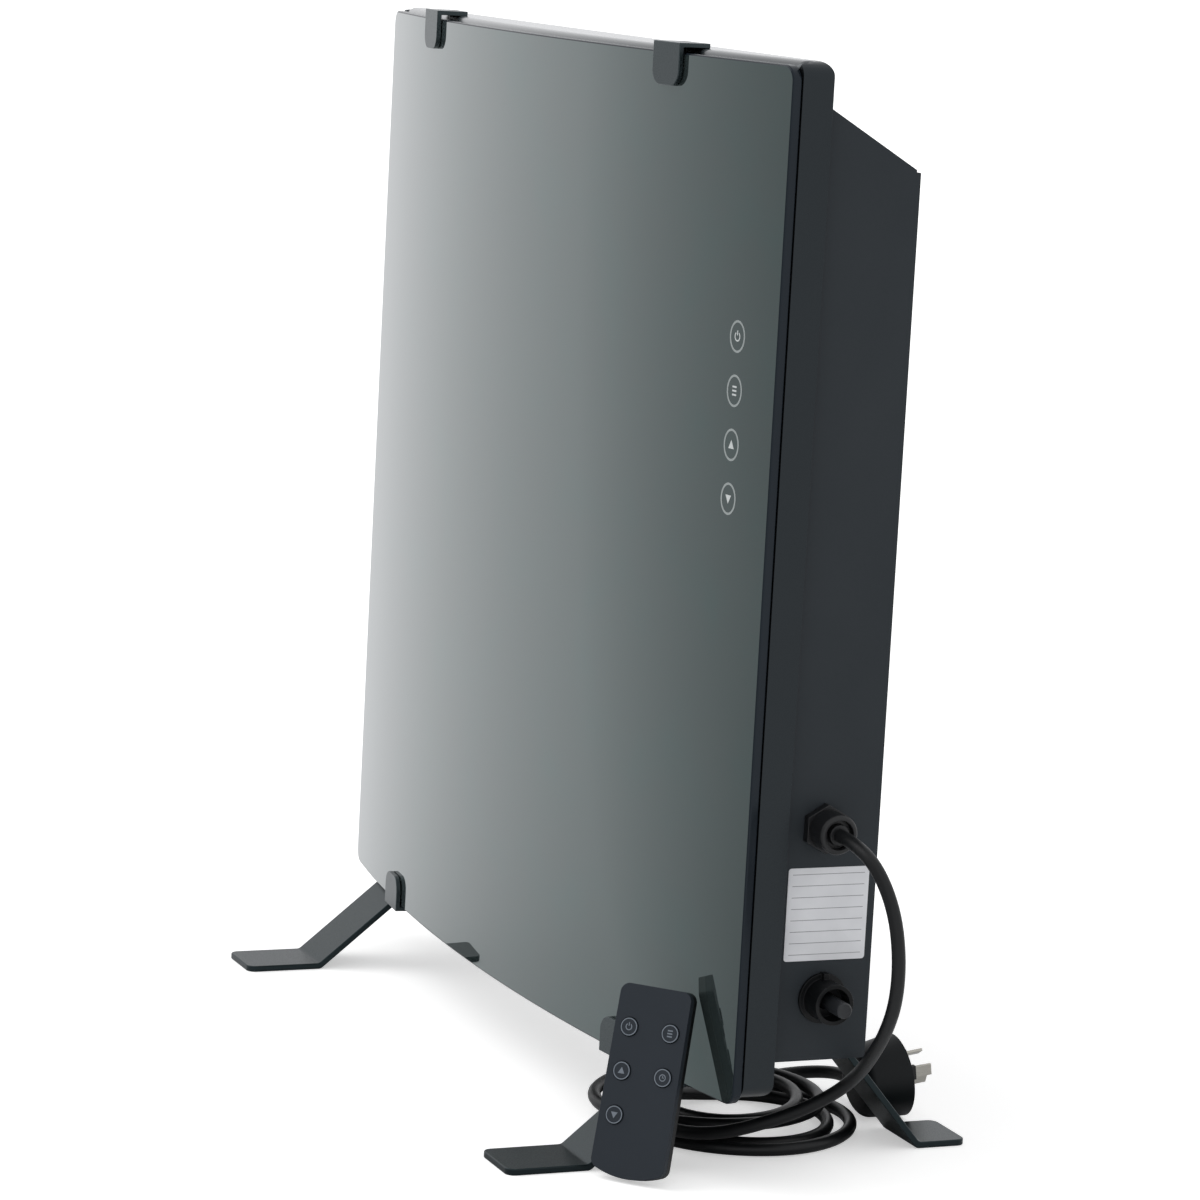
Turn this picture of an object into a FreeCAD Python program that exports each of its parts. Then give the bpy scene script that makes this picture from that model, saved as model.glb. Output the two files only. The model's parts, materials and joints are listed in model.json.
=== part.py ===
import FreeCAD, Part
import math
import os

Vector = FreeCAD.Vector

# Free-standing heater with a curved glass front, a bezel, a sheet-steel housing,
# two bent feet, a coiled mains cord and a remote control that leans on the glass.
# Millimetres. X runs along the panel, the glass faces -Y, Z is up. The origin is
# on the floor, midway between the four toes.

# Glass
glass_width = 566.0
glass_height = 520.0
glass_thickness = 5.0
glass_sagitta = 25.0
glass_corner_radius = 8.0
glass_end_y = -32.0
glass_bottom_z = 45.0

# Bezel frame
glue_gap = 0.3
frame_end_depth = 22.0
frame_wall = 2.5
frame_front_lip = 18.0
frame_rear_lip = 10.0
frame_top_rise = 2.5
frame_bottom_rise = 3.0
frame_back_radius = 7.0

# Sheet-steel housing and back panel
housing_side_inset = 6.0
housing_depth = 53.0
housing_bottom_rise = 20.5
housing_top_drop = 19.0
housing_slope_drop = 31.5
sheet = 1.2
back_lip = 2.3
slot_width = 6.0
slot_length = 32.0
slot_pitch = 22.0
outlet_end_margin = 30.0
inlet_end_margin = 105.0
back_slot_row_rise = 46.5
screw_head_diameter = 7.0
screw_head_height = 2.2
screw_inset = 14.0

# Feet
foot_end_inset = 72.0
foot_width = 38.0
foot_plate = 3.5
foot_depth = 260.0
front_leg_run = 75.5
rear_leg_run = 52.5
foot_top_front_reach = 0.5
foot_top_rear_reach = 7.0
foot_bend_radius = 4.0
toe_corner_radius = 5.0
foot_clearance = 2.0
foot_screw_inset = 12.0

# Glass clips
clip_end_inset = 113.0
clip_width = 27.0
clip_tongue = 17.0
clip_depth = 2.6
clip_bar = 2.5
clip_reach = 15.0
clip_corner_radius = 8.0
clip_gap = 0.3
clip_screw_diameter = 5.0
clip_screw_height = 1.8

# Cord gland
gland_setback = 22.0
gland_rise = 120.5
gland_thread_diameter = 16.0
gland_flange_diameter = 22.0
gland_flange = 5.0
gland_nut_diameter = 20.5
gland_nut_length = 14.0
gland_nut_round = 2.0
gland_mouth_diameter = 15.0
gland_mouth_depth = 4.0
gland_sleeve_diameter = 10.5
gland_thread_length = 11.0
locknut_diameter = 22.0
locknut_thickness = 4.0
hole_clearance = 0.3

# Push switch
switch_setback = 26.5
switch_rise = 32.5
collar_flange_diameter = 26.0
collar_flange = 2.0
collar_diameter = 21.0
collar_length = 14.0
collar_rim = 2.2
collar_recess = 10.0
collar_key_width = 3.0
collar_key_height = 3.0
collar_key_length = 5.0
switch_thread_diameter = 16.0
switch_thread_length = 6.0
plunger_diameter = 8.2
plunger_clearance = 0.4
plunger_reach = 12.0
plunger_travel = 3.0
plunger_tip_radius = 1.2
switch_body_length = 26.0
switch_body_width = 20.0
switch_body_height = 22.0
plunger_inside = 8.0

# Heating element and the pieces that carry it
element_end_room = 33.0
element_rise = 84.5
fin_length = 24.0
fin_thickness = 2.2
fin_half_angle = 32.0
rib_count = 4
rib_height = 1.6
rib_thickness = 1.4
core_diameter = 11.0
stud_diameter = 6.0
stud_length = 18.0
bush_diameter = 12.0
bush_flange_diameter = 17.0
bush_flange = 3.0
bush_length = 8.0
bush_clearance = 0.2
bracket_side_gap = 5.0
bracket_height = 112.0
bracket_flange = 14.0
bracket_corner_radius = 8.0
bracket_gap = 2.0

# Heat shield and partition
shield_thickness = 1.0
shield_margin = 12.0
shield_top_margin = 40.0
shield_flange = 8.0
partition_end_inset = 87.0
partition_margin = 1.0
partition_flange = 10.0

# Control pieces
board_thickness = 1.6
power_board_width = 68.0
power_board_height = 120.0
power_board_end_inset = 45.0
power_board_rise = 224.5
standoff_diameter = 6.0
standoff_length = 12.0
standoff_inset = 6.0
transformer_size = (28.0, 18.0, 32.0)
relay_size = (16.0, 12.0, 20.0)
capacitor_diameter = 12.0
capacitor_length = 16.0
terminal_length = 30.0
terminal_height = 18.0
terminal_depth = 14.0
terminal_screw_diameter = 4.0
terminal_screw_depth = 5.0
terminal_pole_count = 3
terminal_end_inset = 41.0
terminal_rise = 94.5
cutout_diameter = 16.0
cutout_depth = 8.0
cutout_flange_width = 26.0
cutout_flange = 1.0
cutout_x = 0.0
cutout_rise = 169.5
cutout_tab_width = 4.0
cutout_tab_length = 8.0
cutout_tab_spacing = 8.0
tilt_width = 18.0
tilt_depth = 16.0
tilt_height = 24.0
tilt_end_inset = 61.0
touch_board_end_inset = 35.0
touch_board_drop = 179.5
touch_board_width = 22.0
touch_board_height = 118.0
touch_board_gap = 0.4
touch_plug_size = (10.0, 6.0, 14.0)

# Mains cord
cord_diameter = 7.0
coil_end_inset = 117.0
coil_setback = 29.0
coil_radius = 64.0
coil_rate = 5.5
coil_half_turns_per_layer = 4
coil_start_angle = 170.0
coil_last_sweep = 130.0
coil_layer_gap = 0.6
floor_gap = 0.3
drop_first_run = 14.0
drop_last_run = 18.0
tail_first_run = 14.0
tail_last_run = 17.0

# Plug
plug_coil_offset = 8.0
plug_face_setback = 102.1
plug_depth = 25.0
plug_face_diameter = 45.0
plug_back_diameter = 38.0
plug_back_radius = 6.0
plug_pin_rise = 2.0
neck_drop = 9.0
neck_inset = 12.5
neck_root_diameter = 12.0
neck_tip_diameter = 9.4
neck_length = 17.0
neck_overlap = 9.0
pin_width = 6.3
pin_thickness = 1.6
pin_length = 17.0
earth_pin_length = 20.0
pin_circle_radius = 7.9
earth_circle_radius = 10.3
pin_root = 4.0
sleeve_length = 7.5
sleeve_wall = 0.7
pin_socket_gap = 0.2

# Remote control, built lying flat and then leaned on the glass
remote_end_inset = 28.0
remote_forward = 44.5
remote_turn = 41.3
remote_lean = 15.6
remote_length = 98.0
remote_width = 41.0
remote_top_width = 39.5
remote_thickness = 8.0
remote_end_bulge = 5.0
remote_corner_radius = 5.0
remote_wall = 1.2
remote_split = 4.0
remote_floor_gap = 0.3
key_diameter = 9.4
key_clearance = 0.25
key_column_pitch = 23.0
key_row_pitch = 22.5
key_first_row = 76.0
key_rise = 0.7
key_flange_diameter = 11.4
key_flange = 0.7
key_flange_gap = 0.1
key_stem_length = 0.7
key_stem_diameter = 5.0
key_travel = 0.5
remote_board_gap = 0.3
remote_board_thickness = 1.0
cell_diameter = 20.0
cell_thickness = 2.5
cell_gap = 0.1
door_diameter = 22.0
door_clearance = 0.3
door_ring = 0.6
door_ring_height = 0.8
door_lug_reach = 1.3
door_lug_width = 5.0
door_lug_gap = 0.15
door_slot_length = 13.0
door_slot_width = 1.8
door_slot_depth = 0.5
door_height = 30.0

# Every cut runs past its piece by this much
overrun = 2.0

# Worked-out sizes
glass_half = glass_width / 2
glass_top_z = glass_bottom_z + glass_height
arc_radius = (glass_half ** 2 + glass_sagitta ** 2) / (2 * glass_sagitta)
arc_centre_y = glass_end_y - glass_sagitta + arc_radius
frame_front_arc = arc_radius - glass_thickness - glue_gap
frame_rear_y = glass_end_y + frame_end_depth
frame_bottom_z = glass_bottom_z + frame_bottom_rise
frame_top_z = glass_top_z + frame_top_rise
housing_half = glass_half - housing_side_inset
housing_bottom_z = glass_bottom_z + housing_bottom_rise
housing_front_top_z = glass_top_z - housing_top_drop
housing_rear_top_z = housing_front_top_z - housing_slope_drop
housing_front_y = frame_rear_y
housing_rear_y = housing_front_y + housing_depth
back_inner_y = housing_rear_y - sheet
shell_rear_y = housing_rear_y - back_lip
back_slot_row_z = housing_bottom_z + back_slot_row_rise
foot_x = glass_half - foot_end_inset
foot_front_y = -foot_depth / 2
foot_rear_y = foot_depth / 2
foot_top_front_y = housing_front_y - foot_top_front_reach
foot_top_rear_y = housing_rear_y + foot_top_rear_reach
front_leg_low_y = foot_top_front_y - front_leg_run
rear_leg_low_y = foot_top_rear_y + rear_leg_run
clip_x = glass_half - clip_end_inset
wall_inner_x = housing_half - sheet
floor_inner_z = housing_bottom_z + sheet
gland_y = housing_front_y + gland_setback
gland_z = housing_bottom_z + gland_rise
gland_end_x = housing_half + gland_flange + gland_nut_length
switch_y = housing_front_y + switch_setback
switch_z = housing_bottom_z + switch_rise
partition_x = housing_half - partition_end_inset
element_left_x = element_end_room - wall_inner_x
element_right_x = partition_x - element_end_room
element_length = element_right_x - element_left_x
element_y = (housing_front_y + back_inner_y) / 2
element_z = housing_bottom_z + element_rise
bracket_width = back_inner_y - housing_front_y - 2 * bracket_side_gap
power_board_x = housing_half - power_board_end_inset
power_board_z = housing_bottom_z + power_board_rise
terminal_x = housing_half - terminal_end_inset
terminal_z = housing_bottom_z + terminal_rise
cutout_z = housing_bottom_z + cutout_rise
tilt_x = housing_half - tilt_end_inset
touch_board_x = glass_half - touch_board_end_inset
touch_board_z = glass_top_z - touch_board_drop
cord_radius = cord_diameter / 2
coil_centre_x = housing_half - coil_end_inset
coil_centre_y = housing_front_y + coil_setback
plug_x = coil_centre_x + plug_coil_offset
plug_face_y = coil_centre_y + plug_face_setback
plug_face_radius = plug_face_diameter / 2
plug_tilt = math.atan2(plug_face_radius - plug_back_diameter / 2, plug_depth)
remote_x = glass_half - remote_end_inset
remote_y = glass_end_y - remote_forward


# Shared shape makers

def block(x_range, y_range, z_range):
    size = [high - low for low, high in (x_range, y_range, z_range)]
    return Part.makeBox(*size, Vector(x_range[0], y_range[0], z_range[0]))


def rod(diameter, length, base, axis):
    return Part.makeCylinder(diameter / 2, length, base, axis)


def polygon_face(points):
    return Part.Face(Part.makePolygon(list(points) + [points[0]]))


def straight_edges(shape, axis):
    found = []
    for edge in shape.Edges:
        if isinstance(edge.Curve, Part.Line):
            along = edge.tangentAt(edge.FirstParameter)
            if abs(along.dot(axis)) > parallel_share:
                found.append(edge)
    return found


parallel_share = 0.999
x_axis = Vector(1, 0, 0)
y_axis = Vector(0, 1, 0)
z_axis = Vector(0, 0, 1)


def rounded_block(x_range, y_range, z_range, axis, radius):
    body = block(x_range, y_range, z_range)
    return body.makeFillet(radius, straight_edges(body, axis))


def hexagon(across_flats, length, base, axis):
    corner = across_flats / math.sqrt(3)
    points = [Vector(0, corner * math.cos(turn), corner * math.sin(turn))
              for turn in (math.radians(60 * step + 30) for step in range(6))]
    prism = polygon_face(points).extrude(Vector(length, 0, 0))
    prism.Placement = FreeCAD.Placement(base, FreeCAD.Rotation(x_axis, axis))
    return prism


def obround(length, width, depth):
    # Lies in XY with its long side along Y and is extruded along Z from -depth to +depth
    reach = (length - width) / 2
    middle = block((-width / 2, width / 2), (-reach, reach), (-depth, depth))
    ends = [rod(width, 2 * depth, Vector(0, end, -depth), z_axis) for end in (-reach, reach)]
    return middle.fuse(ends).removeSplitter()


def arc_y(x, radius):
    return arc_centre_y - math.sqrt(radius ** 2 - x ** 2)


def arc_edge(radius, half_width):
    points = [Vector(x, arc_y(x, radius), 0) for x in (-half_width, 0, half_width)]
    return Part.Arc(*points).toShape()


def curved_prism(front_radius, half_width, rear_edge, z_range):
    # A plan outline with the curved front, two straight ends and the given rear edge
    front = arc_edge(front_radius, half_width)
    ends = []
    for x in (-half_width, half_width):
        near = Vector(x, arc_y(x, front_radius), 0)
        far = min((v.Point for v in rear_edge.Vertexes), key=lambda p: abs(p.x - x))
        ends.append(Part.LineSegment(near, far).toShape())
    outline = Part.Wire(Part.__sortEdges__([front, ends[0], rear_edge, ends[1]]))
    prism = Part.Face(outline).extrude(Vector(0, 0, z_range[1] - z_range[0]))
    prism.translate(Vector(0, 0, z_range[0]))
    return prism


def straight_rear(rear_y, half_width):
    return Part.LineSegment(Vector(-half_width, rear_y, 0), Vector(half_width, rear_y, 0)).toShape()


def upright_outline(half_width, z_range, radius):
    # A rounded rectangle seen from the front, deep enough to trim any panel piece
    reach = arc_radius
    return rounded_block((-half_width, half_width), (-reach, reach), z_range, y_axis, radius)


def on_glass(piece, x):
    # Turns a piece made at x = 0, y = 0 so that it follows the glass front at x
    turn = math.degrees(math.asin(x / arc_radius))
    piece.Placement = FreeCAD.Placement(Vector(x, arc_y(x, arc_radius), 0), FreeCAD.Rotation(z_axis, turn))
    return piece


# Glass, bezel and clips

def glass_panel():
    rear = arc_edge(arc_radius - glass_thickness, glass_half)
    z_range = (glass_bottom_z, glass_top_z)
    panel = curved_prism(arc_radius, glass_half, rear, z_range)
    return panel.makeFillet(glass_corner_radius, straight_edges(panel, y_axis))


def bezel_frame():
    z_range = (frame_bottom_z, frame_top_z)
    outer = curved_prism(frame_front_arc, glass_half, straight_rear(frame_rear_y, glass_half), z_range)
    outer = outer.common(upright_outline(glass_half, z_range, glass_corner_radius))
    reach = glass_half + overrun
    profile = block((-reach, reach), (-arc_radius, frame_rear_y), z_range)
    rear_edges = [e for e in straight_edges(profile, x_axis) if e.CenterOfMass.y > glass_end_y]
    outer = outer.common(profile.makeFillet(frame_back_radius, rear_edges))
    inner_half = glass_half - frame_wall
    inner_z = (frame_bottom_z + frame_wall, frame_top_z - frame_wall)
    rear_inner_y = frame_rear_y - frame_wall
    cavity = curved_prism(frame_front_arc - frame_wall, inner_half,
                          straight_rear(rear_inner_y, inner_half), inner_z)
    window_half = glass_half - frame_front_lip
    front_window = block((-window_half, window_half), (-arc_radius, rear_inner_y),
                         (frame_bottom_z + frame_front_lip, frame_top_z - frame_front_lip))
    rear_half = housing_half - frame_rear_lip
    rear_window = block((-rear_half, rear_half), (glass_end_y, frame_rear_y + overrun),
                        (housing_bottom_z + frame_rear_lip, housing_front_top_z - frame_rear_lip))
    notches = [foot_notch(side * foot_x) for side in (-1, 1)]
    return outer.cut([cavity, front_window, rear_window] + notches)


def foot_notch(x):
    # A slanted notch that keeps the same clearance in front of the leg
    half = foot_width / 2 + foot_clearance
    low_z = frame_bottom_z - overrun
    high_z = housing_bottom_z + foot_clearance
    rear_y = frame_rear_y + overrun
    outline = [(front_leg_y(low_z) - foot_clearance, low_z), (front_leg_y(high_z) - foot_clearance, high_z),
               (rear_y, high_z), (rear_y, low_z)]
    face = polygon_face([Vector(x - half, y, z) for y, z in outline])
    return face.extrude(Vector(2 * half, 0, 0))


def front_leg_y(z):
    # Where the upper face of the front leg reaches the height z
    share = (z - foot_plate) / (housing_bottom_z - foot_plate)
    return front_leg_low_y + share * front_leg_run


def glass_clip(side, level):
    half = clip_width / 2
    front_y = -clip_gap - clip_depth
    rear_y = clip_reach
    if level == "top":
        bar = block((-half, half), (front_y, rear_y), (frame_top_z, frame_top_z + clip_bar))
        tongue_z = (glass_top_z - clip_tongue, frame_top_z + clip_bar)
        pieces = []
        corner_z = tongue_z[0]
    else:
        bar_top_z = glass_bottom_z - clip_gap
        bar = block((-half, half), (front_y, rear_y), (bar_top_z - clip_bar, bar_top_z))
        tongue_z = (bar_top_z - clip_bar, glass_bottom_z + clip_tongue)
        step_front_y = glass_thickness + frame_wall
        pieces = [block((-half, half), (step_front_y, rear_y), (bar_top_z, frame_bottom_z))]
        corner_z = tongue_z[1]
    tongue = block((-half, half), (front_y, -clip_gap), tongue_z)
    corners = [e for e in straight_edges(tongue, y_axis) if abs(e.CenterOfMass.z - corner_z) < clip_bar]
    tongue = tongue.makeFillet(clip_corner_radius, corners)
    seat = clip_screw(level, clip_screw_diameter + hole_clearance, overrun)
    return on_glass(bar.fuse([tongue] + pieces).cut(seat).removeSplitter(), side * clip_x)


def clip_screw(level, diameter, extra):
    # A head sunk flush into the clip's bar, or its seat with some extra length to cut
    screw_y = (glass_thickness + clip_reach) / 2
    length = clip_screw_height + extra
    if level == "top":
        return rod(diameter, length, Vector(0, screw_y, frame_top_z + clip_bar - clip_screw_height), z_axis)
    low_z = glass_bottom_z - clip_gap - clip_bar
    return rod(diameter, length, Vector(0, screw_y, low_z + clip_screw_height), -z_axis)


def clip_screws():
    heads = []
    for side in (-1, 1):
        for level in ("top", "bottom"):
            heads.append(on_glass(clip_screw(level, clip_screw_diameter, 0), side * clip_x))
    return Part.makeCompound(heads)


# Housing, back panel and feet

def slope_z(y):
    share = (y - housing_front_y) / housing_depth
    return housing_front_top_z + share * (housing_rear_top_z - housing_front_top_z)


def housing_prism(inset, y_range):
    half = housing_half - inset
    drop = inset / math.cos(slope_angle)
    front_y, rear_y = y_range
    points = [Vector(-half, front_y, housing_bottom_z + inset),
              Vector(-half, rear_y, housing_bottom_z + inset),
              Vector(-half, rear_y, slope_z(rear_y) - drop),
              Vector(-half, front_y, slope_z(front_y) - drop)]
    return polygon_face(points).extrude(Vector(2 * half, 0, 0))


slope_angle = math.atan2(housing_front_top_z - housing_rear_top_z, housing_depth)


def slot_row(count, place, rotation):
    slots = []
    for index in range(count):
        slot = obround(slot_length, slot_width, slot_reach)
        offset = (index - (count - 1) / 2) * slot_pitch
        slot.Placement = FreeCAD.Placement(place + Vector(offset, 0, 0), rotation)
        slots.append(slot)
    return slots


slot_reach = 2 * sheet
outlet_slot_count = int((housing_half - outlet_end_margin) * 2 / slot_pitch)
inlet_slot_count = int((housing_half - inlet_end_margin) * 2 / slot_pitch)


def rear_housing():
    shell = housing_prism(0, (housing_front_y, shell_rear_y))
    shell = shell.cut(housing_prism(sheet, (housing_front_y - overrun, shell_rear_y + overrun)))
    middle_y = (housing_front_y + shell_rear_y) / 2
    top_tilt = FreeCAD.Rotation(x_axis, -math.degrees(slope_angle))
    cuts = slot_row(outlet_slot_count, Vector(0, middle_y, slope_z(middle_y)), top_tilt)
    cuts += slot_row(inlet_slot_count, Vector(0, middle_y, housing_bottom_z), FreeCAD.Rotation())
    wall_x = wall_inner_x - overrun
    wall_depth = sheet + 2 * overrun
    cuts.append(rod(gland_thread_diameter + hole_clearance, wall_depth,
                    Vector(wall_x, gland_y, gland_z), x_axis))
    cuts.append(rod(switch_thread_diameter + hole_clearance, wall_depth,
                    Vector(wall_x, switch_y, switch_z), x_axis))
    return shell.cut(cuts)


def back_panel():
    z_range = (housing_bottom_z, housing_rear_top_z)
    pan = block((-housing_half, housing_half), (shell_rear_y, housing_rear_y), z_range)
    hollow = block((-housing_half + sheet, housing_half - sheet), (shell_rear_y - overrun, back_inner_y),
                   (z_range[0] + sheet, z_range[1] - sheet))
    upright = FreeCAD.Rotation(x_axis, 90)
    slots = slot_row(outlet_slot_count, Vector(0, back_inner_y, back_slot_row_z), upright)
    return pan.cut([hollow] + slots)


def back_screws():
    heads = []
    rows = (housing_bottom_z + screw_inset, (housing_bottom_z + housing_rear_top_z) / 2,
            housing_rear_top_z - screw_inset)
    for side in (-1, 1):
        for z in rows:
            place = Vector(side * (housing_half - screw_inset), housing_rear_y, z)
            heads.append(screw_head(place, y_axis))
    return Part.makeCompound(heads)


def screw_head(place, axis):
    head = rod(screw_head_diameter, screw_head_height, Vector(), z_axis)
    rim = [e for e in head.Edges if isinstance(e.Curve, Part.Circle) and e.CenterOfMass.z > 0]
    head = head.makeFillet(screw_head_height / 2, rim)
    head.Placement = FreeCAD.Placement(place, FreeCAD.Rotation(z_axis, axis))
    return head


def foot(side):
    upper = [(foot_front_y, foot_plate), (front_leg_low_y, foot_plate),
             (foot_top_front_y, housing_bottom_z), (foot_top_rear_y, housing_bottom_z),
             (rear_leg_low_y, foot_plate), (foot_rear_y, foot_plate)]
    lower = offset_below(upper, foot_plate)
    start_x = side * foot_x - foot_width / 2
    outline = [Vector(start_x, y, z) for y, z in upper + lower[::-1]]
    strip = polygon_face(outline).extrude(Vector(foot_width, 0, 0))
    bends = []
    for edge in straight_edges(strip, x_axis):
        middle = edge.CenterOfMass
        if foot_front_y + overrun < middle.y < foot_rear_y - overrun:
            bends.append(edge)
    strip = strip.makeFillet(foot_bend_radius, bends)
    return strip.makeFillet(toe_corner_radius, straight_edges(strip, z_axis))


def offset_below(points, distance):
    # Moves a polyline down by a plate thickness, keeping each run parallel
    moved = []
    for index, (y, z) in enumerate(points):
        before = points[max(index - 1, 0)]
        after = points[min(index + 1, len(points) - 1)]
        angle_in = math.atan2(z - before[1], y - before[0]) if index > 0 else 0
        angle_out = math.atan2(after[1] - z, after[0] - y) if index < len(points) - 1 else 0
        middle = (angle_in + angle_out) / 2
        reach = distance / math.cos((angle_out - angle_in) / 2)
        moved.append((y + reach * math.sin(middle), z - reach * math.cos(middle)))
    return moved


def foot_screws():
    heads = []
    low_z = housing_bottom_z - foot_plate
    for side in (-1, 1):
        for y in (housing_front_y + foot_screw_inset, shell_rear_y - foot_screw_inset):
            heads.append(screw_head(Vector(side * foot_x, y, low_z), -z_axis))
    return Part.makeCompound(heads)


# Gland and push switch

def gland_body():
    flange = hexagon(gland_flange_diameter, gland_flange, Vector(housing_half, gland_y, gland_z), x_axis)
    thread = rod(gland_thread_diameter, gland_thread_length, Vector(housing_half, gland_y, gland_z), -x_axis)
    return flange.fuse(thread).removeSplitter()


def gland_nut():
    base = Vector(housing_half + gland_flange, gland_y, gland_z)
    nut = rod(gland_nut_diameter, gland_nut_length, base, x_axis)
    rim = [e for e in nut.Edges if isinstance(e.Curve, Part.Circle) and e.CenterOfMass.x > base.x + overrun]
    nut = nut.makeFillet(gland_nut_round, rim)
    mouth = rod(gland_mouth_diameter, gland_mouth_depth + overrun,
                Vector(gland_end_x - gland_mouth_depth, gland_y, gland_z), x_axis)
    sleeve = rod(gland_sleeve_diameter, gland_nut_length, base, x_axis)
    return nut.cut(mouth).fuse(sleeve).removeSplitter()


def gland_locknut():
    nut = hexagon(locknut_diameter, locknut_thickness, Vector(wall_inner_x, gland_y, gland_z), -x_axis)
    bore = rod(gland_thread_diameter + hole_clearance, locknut_thickness + 2 * overrun,
               Vector(wall_inner_x + overrun, gland_y, gland_z), -x_axis)
    return nut.cut(bore)


def switch_collar():
    base = Vector(housing_half, switch_y, switch_z)
    face_x = collar_flange + collar_length
    collar = rod(collar_flange_diameter, collar_flange, base, x_axis)
    key_half = collar_key_width / 2
    key = block((housing_half, housing_half + collar_key_length), (switch_y - key_half, switch_y + key_half),
                (switch_z, switch_z + collar_diameter / 2 + collar_key_height))
    collar = collar.fuse([key, rod(collar_diameter, face_x, base, x_axis),
                          rod(switch_thread_diameter, switch_thread_length, base, -x_axis)])
    recess_start = base + Vector(face_x - collar_recess, 0, 0)
    recess = rod(collar_diameter - 2 * collar_rim, collar_recess + overrun, recess_start, x_axis)
    bore_start = base - Vector(switch_thread_length + overrun, 0, 0)
    bore = rod(plunger_diameter + plunger_clearance, face_x + switch_thread_length + 2 * overrun,
               bore_start, x_axis)
    return collar.cut([recess, bore]).removeSplitter()


def switch_body():
    front_x = housing_half - switch_thread_length
    body = block((front_x - switch_body_length, front_x),
                 (switch_y - switch_body_width / 2, switch_y + switch_body_width / 2),
                 (switch_z - switch_body_height / 2, switch_z + switch_body_height / 2))
    depth = plunger_inside + plunger_travel + overrun
    bore = rod(plunger_diameter + plunger_clearance, depth + overrun,
               Vector(front_x - depth, switch_y, switch_z), x_axis)
    return body.cut(bore)


def push_button():
    start_x = housing_half - switch_thread_length - plunger_inside
    end_x = housing_half + collar_flange + collar_length + plunger_reach
    plunger = rod(plunger_diameter, end_x - start_x, Vector(start_x, switch_y, switch_z), x_axis)
    tip = [e for e in plunger.Edges if isinstance(e.Curve, Part.Circle) and e.CenterOfMass.x > housing_half]
    return plunger.makeFillet(plunger_tip_radius, tip)


# Heating element and the pieces inside the housing

def heating_element():
    start_x = element_left_x
    fins = []
    for turn in (-fin_half_angle, fin_half_angle):
        fin = block((start_x, start_x + element_length), (-fin_thickness / 2, fin_thickness / 2),
                    (-fin_length, fin_length))
        ribs = []
        for side in (-1, 1):
            for index in range(rib_count):
                z = side * fin_length * (1 - index / (rib_count + 1))
                low = z - rib_thickness / 2 - side * rib_thickness / 2
                ribs.append(block((start_x, start_x + element_length),
                                  (-fin_thickness / 2 - rib_height, fin_thickness / 2 + rib_height),
                                  (low, low + rib_thickness)))
        fin = fin.fuse(ribs)
        fin.rotate(Vector(), x_axis, turn)
        fins.append(fin)
    core = rod(core_diameter, element_length, Vector(start_x, 0, 0), x_axis)
    stud = rod(stud_diameter, element_length + 2 * stud_length, Vector(start_x - stud_length, 0, 0), x_axis)
    element = core.fuse(fins + [stud]).removeSplitter()
    element.translate(Vector(0, element_y, element_z))
    return element


def bracket_face(side):
    # The face of a bracket that looks at the element
    end_x = element_right_x if side > 0 else element_left_x
    return end_x + side * (bush_flange + bracket_gap)


def element_bushes():
    bushes = []
    for side in (-1, 1):
        axis = x_axis * side
        inner = Vector(bracket_face(side) - side * bush_flange, element_y, element_z)
        flange = rod(bush_flange_diameter, bush_flange, inner, axis)
        barrel = rod(bush_diameter, bush_length, inner, axis)
        bore = rod(stud_diameter + bush_clearance, bush_length + 2 * overrun, inner - axis * overrun, axis)
        bushes.append(flange.fuse(barrel).cut(bore).removeSplitter())
    return Part.makeCompound(bushes)


def element_brackets():
    brackets = []
    y_range = (element_y - bracket_width / 2, element_y + bracket_width / 2)
    for side in (-1, 1):
        near_x = bracket_face(side)
        far_x = near_x + side * sheet
        toe_x = near_x + side * bracket_flange
        plate = block(sorted((near_x, far_x)), y_range, (floor_inner_z, floor_inner_z + bracket_height))
        tops = [e for e in straight_edges(plate, x_axis) if e.CenterOfMass.z > element_z]
        plate = plate.makeFillet(bracket_corner_radius, tops)
        flange = block(sorted((near_x, toe_x)), y_range, (floor_inner_z, floor_inner_z + sheet))
        hole = rod(bush_diameter + bush_clearance, sheet + 2 * overrun,
                   Vector(near_x - side * overrun, element_y, element_z), x_axis * side)
        brackets.append(plate.fuse(flange).cut(hole).removeSplitter())
    return Part.makeCompound(brackets)


def heat_shield():
    half = housing_half - shield_margin
    z_range = (floor_inner_z, housing_front_top_z - shield_top_margin)
    plate = block((-half, half), (housing_front_y, housing_front_y + shield_thickness), z_range)
    rear_y = housing_front_y + shield_flange
    left = block((-half, -half + shield_thickness), (housing_front_y, rear_y), z_range)
    right = block((half - shield_thickness, half), (housing_front_y, rear_y), z_range)
    return plate.fuse([left, right]).removeSplitter()


def partition():
    front_y = housing_front_y + shield_thickness + partition_margin
    top_z = slope_z(back_inner_y) - partition_flange
    wall = block((partition_x, partition_x + sheet), (front_y, back_inner_y), (floor_inner_z, top_z))
    foot_flange = block((partition_x, partition_x + partition_flange), (front_y, back_inner_y),
                        (floor_inner_z, floor_inner_z + sheet))
    return wall.fuse(foot_flange).removeSplitter()


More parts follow.
